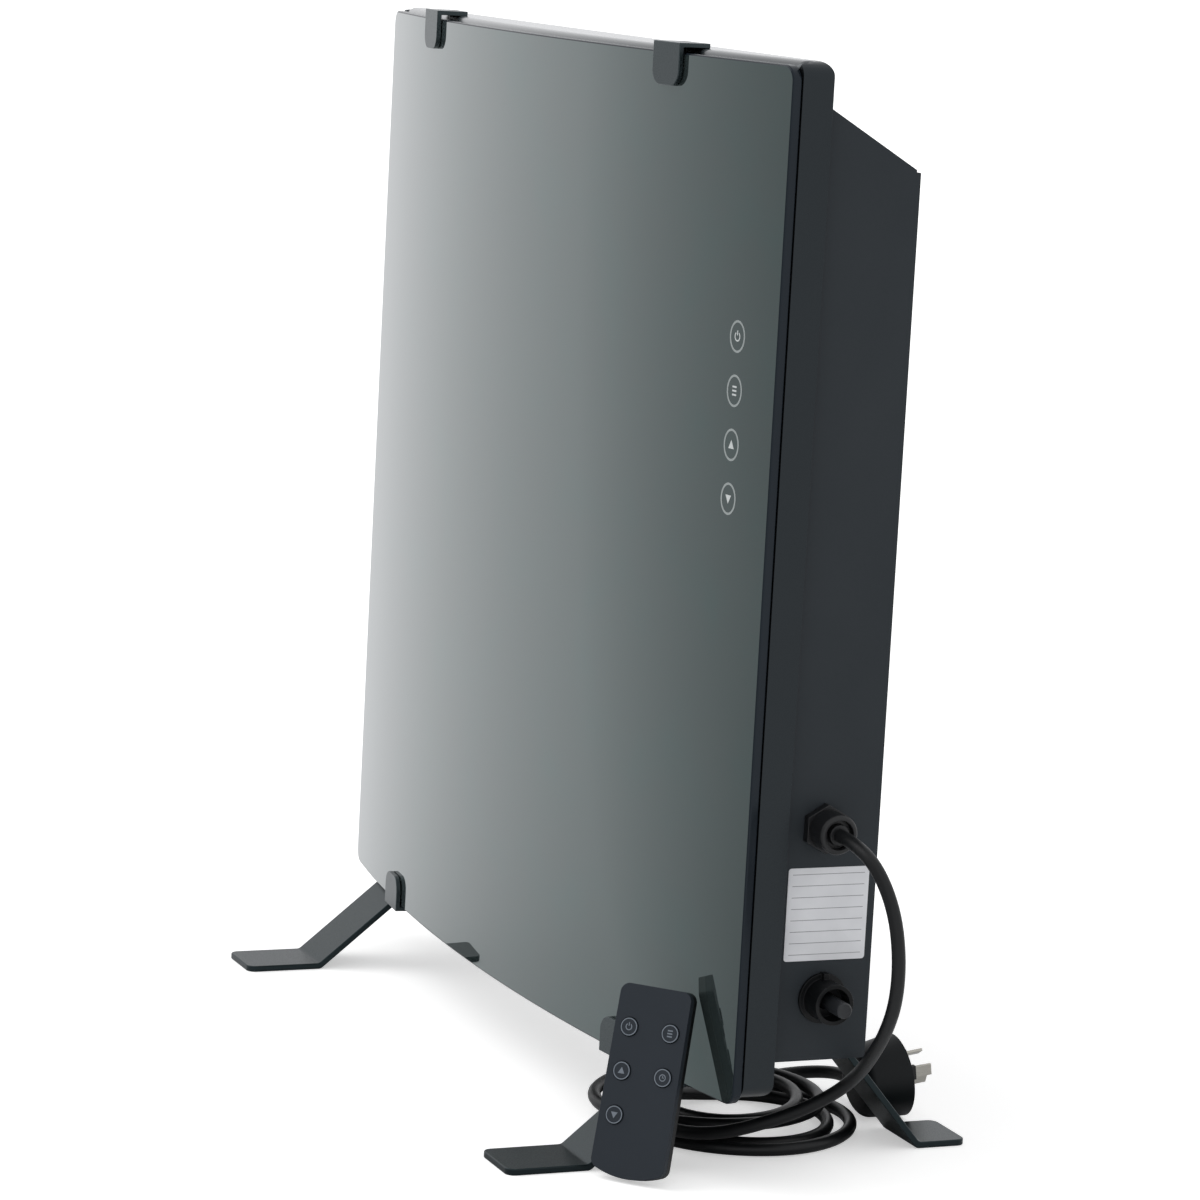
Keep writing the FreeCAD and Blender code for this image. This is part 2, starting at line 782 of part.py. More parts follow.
def power_board():
    rear_y = back_inner_y - standoff_length
    front_y = rear_y - board_thickness
    half_width = power_board_width / 2
    half_height = power_board_height / 2
    board = block((power_board_x - half_width, power_board_x + half_width), (front_y, rear_y),
                  (power_board_z - half_height, power_board_z + half_height))
    parts = []
    left_x = power_board_x - half_width + standoff_inset
    low_z = power_board_z - half_height + 2 * standoff_inset
    parts.append(standing_box(transformer_size, left_x, front_y, low_z))
    relay_x = left_x + transformer_size[0] + standoff_inset
    for index in range(2):
        relay_z = low_z + index * (relay_size[2] + standoff_inset)
        parts.append(standing_box(relay_size, relay_x, front_y, relay_z))
    can_z = low_z + transformer_size[2] + capacitor_diameter
    can_base = Vector(left_x + capacitor_diameter, front_y, can_z)
    parts.append(rod(capacitor_diameter, capacitor_length, can_base, -y_axis))
    return board.fuse(parts).removeSplitter()


def standing_box(size, x, rear_y, z):
    return block((x, x + size[0]), (rear_y - size[1], rear_y), (z, z + size[2]))


def board_standoffs():
    posts = []
    reach_x = power_board_width / 2 - standoff_inset
    reach_z = power_board_height / 2 - standoff_inset
    for x in (power_board_x - reach_x, power_board_x + reach_x):
        for z in (power_board_z - reach_z, power_board_z + reach_z):
            posts.append(rod(standoff_diameter, standoff_length, Vector(x, back_inner_y, z), -y_axis))
    return Part.makeCompound(posts)


def terminal_block():
    front_y = back_inner_y - terminal_depth
    half = terminal_length / 2
    body = block((terminal_x - half, terminal_x + half), (front_y, back_inner_y),
                 (terminal_z - terminal_height / 2, terminal_z + terminal_height / 2))
    pitch = terminal_length / terminal_pole_count
    holes = []
    for index in range(terminal_pole_count):
        x = terminal_x - half + (index + 1 / 2) * pitch
        for z in (terminal_z - terminal_height / 4, terminal_z + terminal_height / 4):
            start = Vector(x, front_y - overrun, z)
            holes.append(rod(terminal_screw_diameter, terminal_screw_depth + overrun, start, y_axis))
    return body.cut(holes)


def thermal_cutout():
    seat_y = housing_front_y + shield_thickness
    seat = Vector(cutout_x, seat_y, cutout_z)
    flange_half = cutout_flange_width / 2
    flange = block((cutout_x - flange_half, cutout_x + flange_half), (seat_y, seat_y + cutout_flange),
                   (cutout_z - cutout_tab_width, cutout_z + cutout_tab_width))
    can = rod(cutout_diameter, cutout_depth, seat, y_axis)
    tabs = []
    for side in (-1, 1):
        x = cutout_x + side * cutout_tab_spacing / 2
        tabs.append(block((x - cutout_flange / 2, x + cutout_flange / 2),
                          (seat_y, seat_y + cutout_depth + cutout_tab_length),
                          (cutout_z - cutout_tab_width / 2, cutout_z + cutout_tab_width / 2)))
    return can.fuse([flange] + tabs).removeSplitter()


def tilt_switch():
    y_range = (element_y - tilt_depth / 2, element_y + tilt_depth / 2)
    x_range = (tilt_x - tilt_width / 2, tilt_x + tilt_width / 2)
    case = block(x_range, y_range, (floor_inner_z, floor_inner_z + tilt_height))
    tops = [e for e in case.Edges if e.CenterOfMass.z > floor_inner_z + tilt_height / 2]
    return case.makeChamfer(sheet, tops)


def touch_board():
    front_y = glass_thickness + touch_board_gap
    half = touch_board_width / 2
    rear_y = front_y + board_thickness
    board = block((-half, half), (front_y, rear_y),
                  (touch_board_z - touch_board_height / 2, touch_board_z + touch_board_height / 2))
    width, depth, height = touch_plug_size
    plug = block((-width / 2, width / 2), (rear_y, rear_y + depth),
                 (touch_board_z - height / 2, touch_board_z + height / 2))
    return on_glass(board.fuse(plug).removeSplitter(), touch_board_x)


# Mains cord and plug

def tube(edges, label):
    # Sweeps the round cord along straight runs and tangent arcs
    path = Part.Wire(edges)
    first = edges[0]
    start = first.valueAt(first.FirstParameter)
    ring = Part.Wire(Part.makeCircle(cord_radius, start, first.tangentAt(first.FirstParameter)))
    solid = path.makePipeShell([ring], True, False)
    wanted = math.pi * cord_radius ** 2 * path.Length
    print(label, "length", round(path.Length, 1), "volume share", round(solid.Volume / wanted, 4))
    return solid


def rounded_route(points, label):
    # Straight runs joined by the largest arcs that the runs allow
    edges = []
    radii = []
    cursor = points[0]
    for before, corner, after in zip(points, points[1:], points[2:]):
        back = before - corner
        ahead = after - corner
        half_turn = (math.pi - back.getAngle(ahead)) / 2
        cut = run_share * min(back.Length, ahead.Length)
        radius = cut / math.tan(half_turn)
        radii.append(round(radius, 1))
        enter = corner + back.normalize() * cut
        leave = corner + ahead.normalize() * cut
        bisector = (back + ahead).normalize()
        middle = corner + bisector * (radius / math.cos(half_turn) - radius)
        edges.append(Part.LineSegment(cursor, enter).toShape())
        edges.append(Part.Arc(enter, middle, leave).toShape())
        cursor = leave
    edges.append(Part.LineSegment(cursor, points[-1]).toShape())
    print(label, "radii", radii)
    return edges


run_share = 0.45


def heading(angle):
    return Vector(math.cos(angle), math.sin(angle), 0)


def coil_edges():
    # Half turns that spiral in on the floor, climb one layer and spiral out again
    rise = cord_diameter + coil_layer_gap
    counts = coil_half_turns_per_layer
    steps = list(range(counts)) + [counts] + list(range(counts - 1, -1, -1))
    angle = math.radians(coil_start_angle)
    radius = coil_radius
    place = Vector(coil_centre_x, coil_centre_y, cord_radius + floor_gap) + heading(angle) * radius
    tangent = heading(angle + math.pi / 2)
    edges = [Part.LineSegment(place - tangent * cord_diameter, place).toShape()]
    for index, step in enumerate(steps):
        radius = coil_radius - step * coil_rate
        inward = heading(angle) * -radius
        if index == counts:
            lift = math.asin(rise / (2 * radius))
            inward = inward * math.cos(lift) + Vector(0, 0, rise / 2)
        centre = place + inward
        sweep = math.radians(coil_last_sweep) if index == 2 * counts else math.pi
        middle = centre + tangent * radius
        end = centre + inward
        if sweep < math.pi:
            middle = centre + heading(angle + sweep / 2) * radius
            end = centre + heading(angle + sweep) * radius
        edges.append(Part.Arc(place, middle, end).toShape())
        place = end
        angle += sweep
        tangent = heading(angle + math.pi / 2)
    edges.append(Part.LineSegment(place, place + tangent * cord_diameter).toShape())
    return edges


def coil_ends():
    # The two free ends of the coil, each with the heading that leads away from it
    edges = coil_edges()
    first, last = edges[0], edges[-1]
    start = first.valueAt(first.FirstParameter)
    end = last.valueAt(last.LastParameter)
    return start, first.tangentAt(first.FirstParameter) * -1, end, last.tangentAt(last.LastParameter)


def least_coil_gap(edges):
    # Measures the path on points and skips the stretch beside each point
    points = Part.Wire(edges).discretize(Distance=cord_radius)
    skip = round(math.pi * coil_radius / cord_radius)
    least = min(a.distanceToPoint(b) for i, a in enumerate(points) for b in points[i + skip:])
    return least - cord_diameter


def cord_coil():
    edges = coil_edges()
    print("coil least gap", round(least_coil_gap(edges), 2))
    return tube(edges, "coil")


def cord_drop():
    coil_end, away = coil_ends()[2:]
    mouth = Vector(gland_end_x, gland_y, gland_z)
    route = [mouth, mouth + x_axis * drop_first_run]
    route += [Vector(housing_half + x, housing_front_y + y, z) for x, y, z in drop_route]
    route += [coil_end + away * drop_last_run, coil_end]
    return tube(rounded_route(route, "drop"), "drop")


def cord_tail():
    coil_start, away = coil_ends()[:2]
    mouth = laid(Part.Vertex(neck_root() - x_axis * neck_length)).Point
    route = [mouth, mouth - x_axis * tail_first_run]
    route += [Vector(coil_centre_x + x, coil_centre_y + y, z) for x, y, z in tail_route]
    route += [coil_start + away * tail_last_run, coil_start]
    return tube(rounded_route(route, "tail"), "tail")


# Points of the cord's free stretches: the drop from the housing's edge, the tail from the coil's middle
drop_route = [(51.0, 27.0, 178.0), (60.5, 33.5, 158.0), (61.0, 38.0, 134.0), (55.0, 41.0, 110.0),
              (42.0, 43.0, 90.0), (22.0, 46.0, 72.0), (4.0, 48.5, 58.0), (-9.0, 44.0, 45.5),
              (-20.0, 31.0, 34.0), (-32.0, 14.0, 24.0), (-47.0, -1.5, 15.5)]
tail_route = [(-48.0, 82.5, 10.2), (-56.5, 71.5, 7.4), (-59.5, 56.5, 5.0)]


def laid(shape):
    # Lays the plug on its tapered side, which points its pins up a little
    shape.translate(Vector(0, 0, plug_face_radius))
    shape.rotate(Vector(), x_axis, math.degrees(plug_tilt))
    shape.translate(Vector(plug_x, plug_face_y, floor_gap))
    return shape


def neck_root():
    return Vector(neck_overlap - plug_face_radius, -neck_inset, -neck_drop)


def plug_body():
    # Its own frame has the middle of the face at the origin and the pins along Y
    base = Vector(0, -plug_depth, 0)
    body = Part.makeCone(plug_back_diameter / 2, plug_face_radius, plug_depth, base, y_axis)
    back = [e for e in body.Edges if abs(e.CenterOfMass.y + plug_depth) < overrun]
    body = body.makeFillet(plug_back_radius, back)
    neck = Part.makeCone(neck_root_diameter / 2, neck_tip_diameter / 2, neck_length, neck_root(), -x_axis)
    sockets = [pin_at(index, pin_socket_gap, -pin_root, 0) for index in range(3)]
    return laid(body.fuse(neck).removeSplitter().cut(sockets))


def pin_at(index, growth, start, length):
    # Blades of two live pins set round the pin circle, and the earth blade set across it
    angle = math.radians(plug_roll + 120 * index)
    earth = index == 2
    circle = earth_circle_radius if earth else pin_circle_radius
    wide = pin_width / 2 + growth
    thin = pin_thickness / 2 + growth
    blade = block((-thin, thin), (start, length), (-wide, wide))
    turn = math.degrees(angle) + (90 if earth else 0)
    blade.rotate(Vector(), y_axis, -turn)
    blade.translate(Vector(circle * math.cos(angle), 0, plug_pin_rise + circle * math.sin(angle)))
    return blade


plug_roll = 0.0


def plug_pins():
    lengths = (pin_length, pin_length, earth_pin_length)
    pins = [pin_at(index, 0, -pin_root, length) for index, length in enumerate(lengths)]
    return laid(Part.makeCompound(pins))


def pin_sleeves():
    sleeves = []
    for index in range(2):
        outer = pin_at(index, sleeve_wall, 0, sleeve_length)
        sleeves.append(outer.cut(pin_at(index, 0, -pin_root, pin_length)))
    return laid(Part.makeCompound(sleeves))


# Remote control, in its own flat frame: X across, Y up its length, Z out of its face

def remote_prism(inset, z_range, radius):
    low_half = remote_width / 2 - inset
    top_half = remote_top_width / 2 - inset
    top_y = remote_length - inset
    edges = [Part.Arc(Vector(-low_half, remote_end_bulge + inset, 0), Vector(0, inset, 0),
                      Vector(low_half, remote_end_bulge + inset, 0)),
             Part.LineSegment(Vector(low_half, remote_end_bulge + inset, 0), Vector(top_half, top_y, 0)),
             Part.LineSegment(Vector(top_half, top_y, 0), Vector(-top_half, top_y, 0)),
             Part.LineSegment(Vector(-top_half, top_y, 0), Vector(-low_half, remote_end_bulge + inset, 0))]
    outline = Part.Wire([edge.toShape() for edge in edges])
    prism = Part.Face(outline).extrude(Vector(0, 0, z_range[1] - z_range[0]))
    prism.translate(Vector(0, 0, z_range[0]))
    return prism.makeFillet(radius, straight_edges(prism, z_axis))


def key_places():
    columns = (-key_column_pitch / 2, key_column_pitch / 2)
    places = [(x, key_first_row - row * key_row_pitch) for row in range(2) for x in columns]
    return places + [(columns[0], key_first_row - 2 * key_row_pitch)]


def remote_face():
    shell = remote_prism(0, (-remote_split, 0), remote_corner_radius)
    inner_radius = remote_corner_radius - remote_wall
    hollow = remote_prism(remote_wall, (-remote_split - overrun, -remote_wall), inner_radius)
    hole = key_diameter + 2 * key_clearance
    holes = [rod(hole, remote_wall + 2 * overrun, Vector(x, y, -remote_wall - overrun), z_axis)
             for x, y in key_places()]
    return shell.cut([hollow] + holes)


def remote_back():
    shell = remote_prism(0, (-remote_thickness, -remote_split), remote_corner_radius)
    inner_radius = remote_corner_radius - remote_wall
    hollow = remote_prism(remote_wall, (-remote_thickness + remote_wall, -remote_split + overrun), inner_radius)
    hole = rod(door_diameter + 2 * door_clearance, remote_wall + 2 * overrun,
               Vector(0, door_height, -remote_thickness - overrun), z_axis)
    return shell.cut([hollow, hole])


def remote_key(place):
    x, y = place
    flange_top = -remote_wall - key_flange_gap
    flange_low = flange_top - key_flange
    cap = rod(key_diameter, key_rise - flange_low, Vector(x, y, flange_low), z_axis)
    flange = rod(key_flange_diameter, key_flange, Vector(x, y, flange_low), z_axis)
    stem = rod(key_stem_diameter, key_stem_length, Vector(x, y, flange_low), -z_axis)
    return cap.fuse([flange, stem]).removeSplitter()


def board_top():
    stem_low = -remote_wall - key_flange_gap - key_flange - key_stem_length
    return stem_low - key_travel - remote_board_gap


def remote_board():
    inset = remote_wall + remote_board_gap
    radius = remote_corner_radius - inset
    return remote_prism(inset, (board_top() - remote_board_thickness, board_top()), radius)


def remote_cell():
    top = board_top() - remote_board_thickness - cell_gap
    return rod(cell_diameter, cell_thickness, Vector(0, door_height, top - cell_thickness), z_axis)


def battery_door():
    low = -remote_thickness
    inner = low + remote_wall
    base = Vector(0, door_height, low)
    plate = rod(door_diameter, remote_wall - door_ring, base, z_axis)
    ring_outer = rod(door_diameter, remote_wall + door_lug_gap + door_ring_height, base, z_axis)
    ring_inner = rod(door_diameter - 2 * door_ring, remote_thickness, base, z_axis)
    ring = ring_outer.cut(ring_inner)
    lug_low = inner + door_lug_gap
    lug_reach = door_diameter / 2 + door_lug_reach
    lugs = block((-lug_reach, lug_reach), (door_height - door_lug_width / 2, door_height + door_lug_width / 2),
                 (lug_low, lug_low + door_ring_height))
    lugs = lugs.cut(ring_inner)
    slot = block((-door_slot_length / 2, door_slot_length / 2),
                 (door_height - door_slot_width / 2, door_height + door_slot_width / 2),
                 (low - overrun, low + door_slot_depth))
    return plate.fuse([ring, lugs]).cut(slot).removeSplitter()


def remote_placement():
    stand = FreeCAD.Rotation(x_axis, 90 - remote_lean)
    turn = FreeCAD.Rotation(z_axis, remote_turn)
    lift = remote_thickness * math.sin(math.radians(remote_lean)) + remote_floor_gap
    return FreeCAD.Placement(Vector(remote_x, remote_y, lift), turn.multiply(stand))


def leaned(piece):
    piece.Placement = remote_placement().multiply(piece.Placement)
    return piece


# Names of the pieces

def build():
    pieces = {"glass_panel": glass_panel(), "bezel_frame": bezel_frame(), "clip_screws": clip_screws(),
              "rear_housing": rear_housing(), "back_panel": back_panel(), "back_screws": back_screws(),
              "foot_left": foot(-1), "foot_right": foot(1), "foot_screws": foot_screws(),
              "gland_body": gland_body(), "gland_nut": gland_nut(), "gland_locknut": gland_locknut(),
              "switch_collar": switch_collar(), "switch_body": switch_body(), "push_button": push_button(),
              "heating_element": heating_element(), "element_bushes": element_bushes(),
              "element_brackets": element_brackets(), "heat_shield": heat_shield(), "partition": partition(),
              "power_board": power_board(), "board_standoffs": board_standoffs(),
              "terminal_block": terminal_block(), "thermal_cutout": thermal_cutout(),
              "tilt_switch": tilt_switch(), "touch_board": touch_board(),
              "cord_drop": cord_drop(), "cord_coil": cord_coil(), "cord_tail": cord_tail(),
              "plug_body": plug_body(), "plug_pins": plug_pins(), "pin_sleeves": pin_sleeves(),
              "remote_face": leaned(remote_face()), "remote_back": leaned(remote_back()),
              "remote_board": leaned(remote_board()), "remote_cell": leaned(remote_cell()),
              "remote_battery_door": leaned(battery_door())}
    for level in ("top", "bottom"):
        for side, word in ((-1, "left"), (1, "right")):
            pieces["clip_" + level + "_" + word] = glass_clip(side, level)
    for name, place in zip(("power", "mode", "up", "timer", "down"), key_places()):
        pieces["remote_key_" + name] = leaned(remote_key(place))
    return pieces


os.makedirs("parts", exist_ok=True)
for name, shape in build().items():
    valid = shape.isValid() and all(solid.Volume > 0 for solid in shape.Solids)
    print(name, "solids", len(shape.Solids), "valid" if valid else "INVALID")
    shape.exportStep("parts/" + name + ".step")
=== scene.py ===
import json
import math
import bmesh
import bpy
from mathutils import Matrix, Vector


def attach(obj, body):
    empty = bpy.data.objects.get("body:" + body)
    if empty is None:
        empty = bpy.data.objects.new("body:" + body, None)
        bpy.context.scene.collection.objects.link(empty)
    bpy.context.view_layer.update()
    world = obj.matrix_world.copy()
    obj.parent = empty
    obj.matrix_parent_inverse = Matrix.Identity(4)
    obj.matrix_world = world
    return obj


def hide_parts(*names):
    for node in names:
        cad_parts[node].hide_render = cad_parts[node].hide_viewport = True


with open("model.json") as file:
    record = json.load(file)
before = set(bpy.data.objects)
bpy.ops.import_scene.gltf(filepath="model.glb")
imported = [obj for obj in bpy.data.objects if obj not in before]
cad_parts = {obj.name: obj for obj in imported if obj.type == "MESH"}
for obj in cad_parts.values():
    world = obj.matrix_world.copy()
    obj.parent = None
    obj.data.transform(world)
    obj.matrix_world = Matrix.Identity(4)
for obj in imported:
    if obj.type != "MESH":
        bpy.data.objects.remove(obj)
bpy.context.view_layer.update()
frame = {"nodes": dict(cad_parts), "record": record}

scene = bpy.context.scene
scene.view_settings.view_transform = "Standard"
mm = 0.001
print("frame loaded", len(frame["nodes"]), "nodes")


# camera at the photo's viewing angle, worked out from the panel's edges
view = {"azimuth": 67.0, "drop": 9.21, "roll": -3.073, "place": (2.2321, -0.9462, 0.6478),
        "lens": 132.85, "sensor": 36.0, "farthest": 200.0}


def addCamera():
    data = bpy.data.cameras.new("photoCamera")
    camera = bpy.data.objects.new("photoCamera", data)
    scene.collection.objects.link(camera)
    data.sensor_width = view["sensor"]
    data.lens = view["lens"]
    data.clip_end = view["farthest"]
    turn, drop, roll = (math.radians(view[key]) for key in ("azimuth", "drop", "roll"))
    ahead = Vector((-math.sin(turn) * math.cos(drop), math.cos(turn) * math.cos(drop), -math.sin(drop)))
    across = Vector((math.cos(turn), math.sin(turn), 0))
    down = ahead.cross(across)
    right = across * math.cos(roll) + down * math.sin(roll)
    up = across * math.sin(roll) - down * math.cos(roll)
    spin = Matrix((right, up, -ahead)).transposed()
    camera.matrix_world = Matrix.Translation(view["place"]) @ spin.to_4x4()
    scene.camera = camera


addCamera()
print("camera set")


# shared makers for node trees
def addNode(tree, kind, **settings):
    node = tree.nodes.new(kind)
    for key, value in settings.items():
        if key in node.inputs:
            node.inputs[key].default_value = value
        else:
            setattr(node, key, value)
    return node


def feed(tree, socket, value):
    # another node's socket is linked, and a constant is set, a colour with its alpha
    if isinstance(value, bpy.types.NodeSocket):
        tree.links.new(value, socket)
    elif socket.type == "RGBA":
        socket.default_value = (*value, 1)
    else:
        socket.default_value = value


def feedAll(tree, node, values):
    for key, value in values.items():
        feed(tree, node.inputs[key], value)


def mathOf(tree, operation, first, second):
    node = addNode(tree, "ShaderNodeMath", operation=operation)
    for socket, value in zip(node.inputs, (first, second)):
        feed(tree, socket, value)
    return node.outputs["Value"]


def vectorOf(tree, x, y, z):
    node = addNode(tree, "ShaderNodeCombineXYZ")
    feedAll(tree, node, {"X": x, "Y": y, "Z": z})
    return node.outputs["Vector"]


def mapRange(tree, value, given, wanted):
    # maps a value from one pair of numbers to another
    node = addNode(tree, "ShaderNodeMapRange")
    names = ("From Min", "From Max", "To Min", "To Max")
    feedAll(tree, node, {"Value": value, **dict(zip(names, (*given, *wanted)))})
    return node.outputs["Result"]


# a mix node's colour sockets share their names with others, so they go by place
mixPlaces = {"first": 6, "second": 7, "result": 2}


def mixColour(tree, factor, first, second):
    node = addNode(tree, "ShaderNodeMix", data_type="RGBA")
    feed(tree, node.inputs["Factor"], factor)
    feed(tree, node.inputs[mixPlaces["first"]], first)
    feed(tree, node.inputs[mixPlaces["second"]], second)
    return node.outputs[mixPlaces["result"]]


# plain materials with a worked surface; everything reads Object coordinates
noiseLook = {"range": (0.3, 0.7), "driftDetail": 3.0, "grainDetail": 2.0, "grainDepth": 0.2 * mm}


def newMaterial(name):
    material = bpy.data.materials.new(name)
    material.use_nodes = True
    tree = material.node_tree
    return material, tree, tree.nodes["Principled BSDF"]


def objectPoint(tree):
    return addNode(tree, "ShaderNodeTexCoord").outputs["Object"]


def noiseOf(tree, scale, detail, stretch=None):
    point = objectPoint(tree)
    if stretch:
        mapping = addNode(tree, "ShaderNodeMapping", Scale=stretch)
        feed(tree, mapping.inputs["Vector"], point)
        point = mapping.outputs["Vector"]
    noise = addNode(tree, "ShaderNodeTexNoise", Scale=scale, Detail=detail)
    feed(tree, noise.inputs["Vector"], point)
    return noise.outputs["Fac"]


def spread(tree, noise, low, high):
    # maps the middle of a noise between two numbers
    return mapRange(tree, noise, noiseLook["range"], (low, high))


def addBump(tree, shader, height, strength):
    bump = addNode(tree, "ShaderNodeBump", Strength=strength, Distance=noiseLook["grainDepth"])
    feed(tree, bump.inputs["Height"], height)
    feed(tree, shader.inputs["Normal"], bump.outputs["Normal"])


# what a finish has unless it says otherwise; coat is the coat's index of refraction, with none at 1
plainFinish = dict(metallic=0.0, specular=0.4, tint=(1, 1, 1), coat=1.0, driftScale=18.0, stretch=None)


def surface(name, ownLook):
    # base colour drifts between two tones, with its own grain and roughness
    look = {**plainFinish, **ownLook}
    material, tree, shader = newMaterial(name)
    drift = spread(tree, noiseOf(tree, look["driftScale"], noiseLook["driftDetail"]), 0, 1)
    grain = noiseOf(tree, look["grain"], noiseLook["grainDetail"], look["stretch"])
    low, high = look["roughness"]
    feedAll(tree, shader, {
        "Base Color": mixColour(tree, drift, look["colour"], look["colour2"]),
        "Roughness": spread(tree, grain, low, high),
        "Metallic": look["metallic"],
        "Specular IOR Level": look["specular"],
        "Specular Tint": look["tint"],
        "Coat Weight": float(look["coat"] > 1),
        "Coat IOR": look["coat"],
        "Coat Roughness": low})
    addBump(tree, shader, grain, look["bump"])
    return material


finishes = {
    "housing_charcoal": dict(colour=(0.0215, 0.0268, 0.0318), colour2=(0.0245, 0.03, 0.0352), grain=1500.0,
                             roughness=(0.46, 0.58), bump=0.16, specular=0.2),
    "frame_black": dict(colour=(0.0016, 0.0018, 0.002), colour2=(0.0024, 0.0026, 0.0028), grain=1800.0,
                        roughness=(0.2, 0.28), bump=0.02, specular=0.5, tint=(0.04, 0.16, 0.24), coat=1.38),
    "foot_black": dict(colour=(0.003, 0.0042, 0.005), colour2=(0.0045, 0.006, 0.007), grain=1500.0,
                       roughness=(0.3, 0.42), bump=0.08, specular=0.6, tint=(0.42, 0.58, 0.62)),
    "clip_grey": dict(colour=(0.003, 0.0042, 0.005), colour2=(0.0045, 0.006, 0.007), grain=1600.0,
                      roughness=(0.2, 0.3), bump=0.05, specular=0.75, tint=(0.75, 0.95, 1.0)),
    "gland_plastic": dict(colour=(0.006, 0.0065, 0.0075), colour2=(0.009, 0.0095, 0.0105), grain=2600.0,
                          roughness=(0.36, 0.46), bump=0.06),
    "switch_black": dict(colour=(0.003, 0.0035, 0.004), colour2=(0.0045, 0.005, 0.0055), grain=2600.0,
                         roughness=(0.3, 0.4), bump=0.05, specular=0.22),
    "plunger_black": dict(colour=(0.014, 0.0155, 0.018), colour2=(0.018, 0.02, 0.023), grain=2600.0,
                          roughness=(0.34, 0.44), bump=0.05),
    "cord_black": dict(colour=(0.003, 0.0036, 0.0042), colour2=(0.0048, 0.0055, 0.0062), grain=1400.0,
                       roughness=(0.36, 0.5), bump=0.1, specular=0.3),
    "plug_black": dict(colour=(0.0035, 0.005, 0.006), colour2=(0.005, 0.0068, 0.008), grain=1700.0,
                       roughness=(0.4, 0.52), bump=0.1, specular=0.2),
    "sleeve_black": dict(colour=(0.006, 0.0062, 0.0066), colour2=(0.009, 0.0092, 0.0098), grain=2600.0,
                         roughness=(0.4, 0.5), bump=0.05),
    "remote_black": dict(colour=(0.0045, 0.005, 0.0055), colour2=(0.007, 0.0075, 0.008), grain=2200.0,
                         roughness=(0.4, 0.5), bump=0.08),
    "remote_face_grey": dict(colour=(0.0228, 0.0288, 0.0365), colour2=(0.0248, 0.0308, 0.0395), grain=3200.0,
                             roughness=(0.46, 0.56), bump=0.06, specular=0.2),
    "key_grey": dict(colour=(0.0232, 0.0292, 0.037), colour2=(0.0252, 0.0312, 0.04), grain=3200.0,
                     roughness=(0.46, 0.56), bump=0.06, specular=0.2),
    "screw_steel": dict(colour=(0.1, 0.1, 0.105), colour2=(0.14, 0.14, 0.145), grain=900.0, metallic=1.0,
                        roughness=(0.3, 0.45), bump=0.05, specular=0.5),
    "pin_metal": dict(colour=(0.4, 0.385, 0.345), colour2=(0.48, 0.465, 0.42), grain=700.0, metallic=1.0,
                      roughness=(0.22, 0.36), bump=0.05, specular=0.5, stretch=(1, 0.06, 1)),
    "element_aluminium": dict(colour=(0.6, 0.6, 0.61), colour2=(0.7, 0.7, 0.71), grain=600.0, metallic=1.0,
                              roughness=(0.3, 0.45), bump=0.08, stretch=(0.02, 1, 1)),
    "bush_ceramic": dict(colour=(0.74, 0.71, 0.64), colour2=(0.8, 0.78, 0.72), grain=1500.0,
                         roughness=(0.35, 0.5), bump=0.08),
    "sheet_bright": dict(colour=(0.45, 0.46, 0.47), colour2=(0.6, 0.61, 0.62), grain=90.0, metallic=1.0,
                         roughness=(0.28, 0.5), bump=0.04, driftScale=60.0),
    "board_green": dict(colour=(0.012, 0.085, 0.035), colour2=(0.018, 0.11, 0.045), grain=1800.0,
                        roughness=(0.25, 0.4), bump=0.1, driftScale=200.0),
    "standoff_plastic": dict(colour=(0.7, 0.7, 0.68), colour2=(0.76, 0.76, 0.74), grain=1500.0,
                             roughness=(0.4, 0.5), bump=0.05),
    "terminal_plastic": dict(colour=(0.66, 0.65, 0.6), colour2=(0.72, 0.71, 0.66), grain=1500.0,
                             roughness=(0.4, 0.5), bump=0.05),
    "cutout_metal": dict(colour=(0.5, 0.5, 0.5), colour2=(0.6, 0.6, 0.6), grain=700.0, metallic=1.0,
                         roughness=(0.3, 0.45), bump=0.05),
    "plate_white": dict(colour=(0.66, 0.67, 0.7), colour2=(0.72, 0.73, 0.76), grain=700.0,
                        roughness=(0.3, 0.42), bump=0.03, driftScale=60.0),
    "plate_rule": dict(colour=(0.2, 0.2, 0.22), colour2=(0.26, 0.26, 0.28), grain=1500.0,
                       roughness=(0.4, 0.5), bump=0.02),
    "print_grey": dict(colour=(0.27, 0.3, 0.3), colour2=(0.31, 0.34, 0.34), grain=2500.0,
                       roughness=(0.4, 0.5), bump=0.02),
    "print_light": dict(colour=(0.5, 0.53, 0.53), colour2=(0.58, 0.61, 0.61), grain=2500.0,
                        roughness=(0.4, 0.5), bump=0.02),
    "print_faint": dict(colour=(0.15, 0.175, 0.21), colour2=(0.175, 0.2, 0.235), grain=2500.0,
                        roughness=(0.4, 0.5), bump=0.02),
    "cell_steel": dict(colour=(0.55, 0.55, 0.55), colour2=(0.62, 0.62, 0.62), grain=500.0, metallic=1.0,
                       roughness=(0.25, 0.4), bump=0.04),
}

# dark tinted glass: a nearly black body under a polished skin; its ground edge is darker and has no skin
glassFinish = {"body": (0.0155, 0.0208, 0.0208), "body2": (0.018, 0.024, 0.024), "ior": 1.6, "skinIor": 1.4,
               "tint": (0.4, 1.0, 0.94), "polish": (0.01, 0.016)}
edgeFinish = {"body": (0.006, 0.009, 0.013), "body2": (0.008, 0.0115, 0.016), "ior": 1.33, "skinIor": 1.0,
              "tint": (0.8, 0.9, 1.0), "polish": (0.16, 0.24)}
glassNoise = {"driftScale": 9.0, "driftDetail": 2.0, "hazeScale": 22.0, "hazeDetail": 4.0}


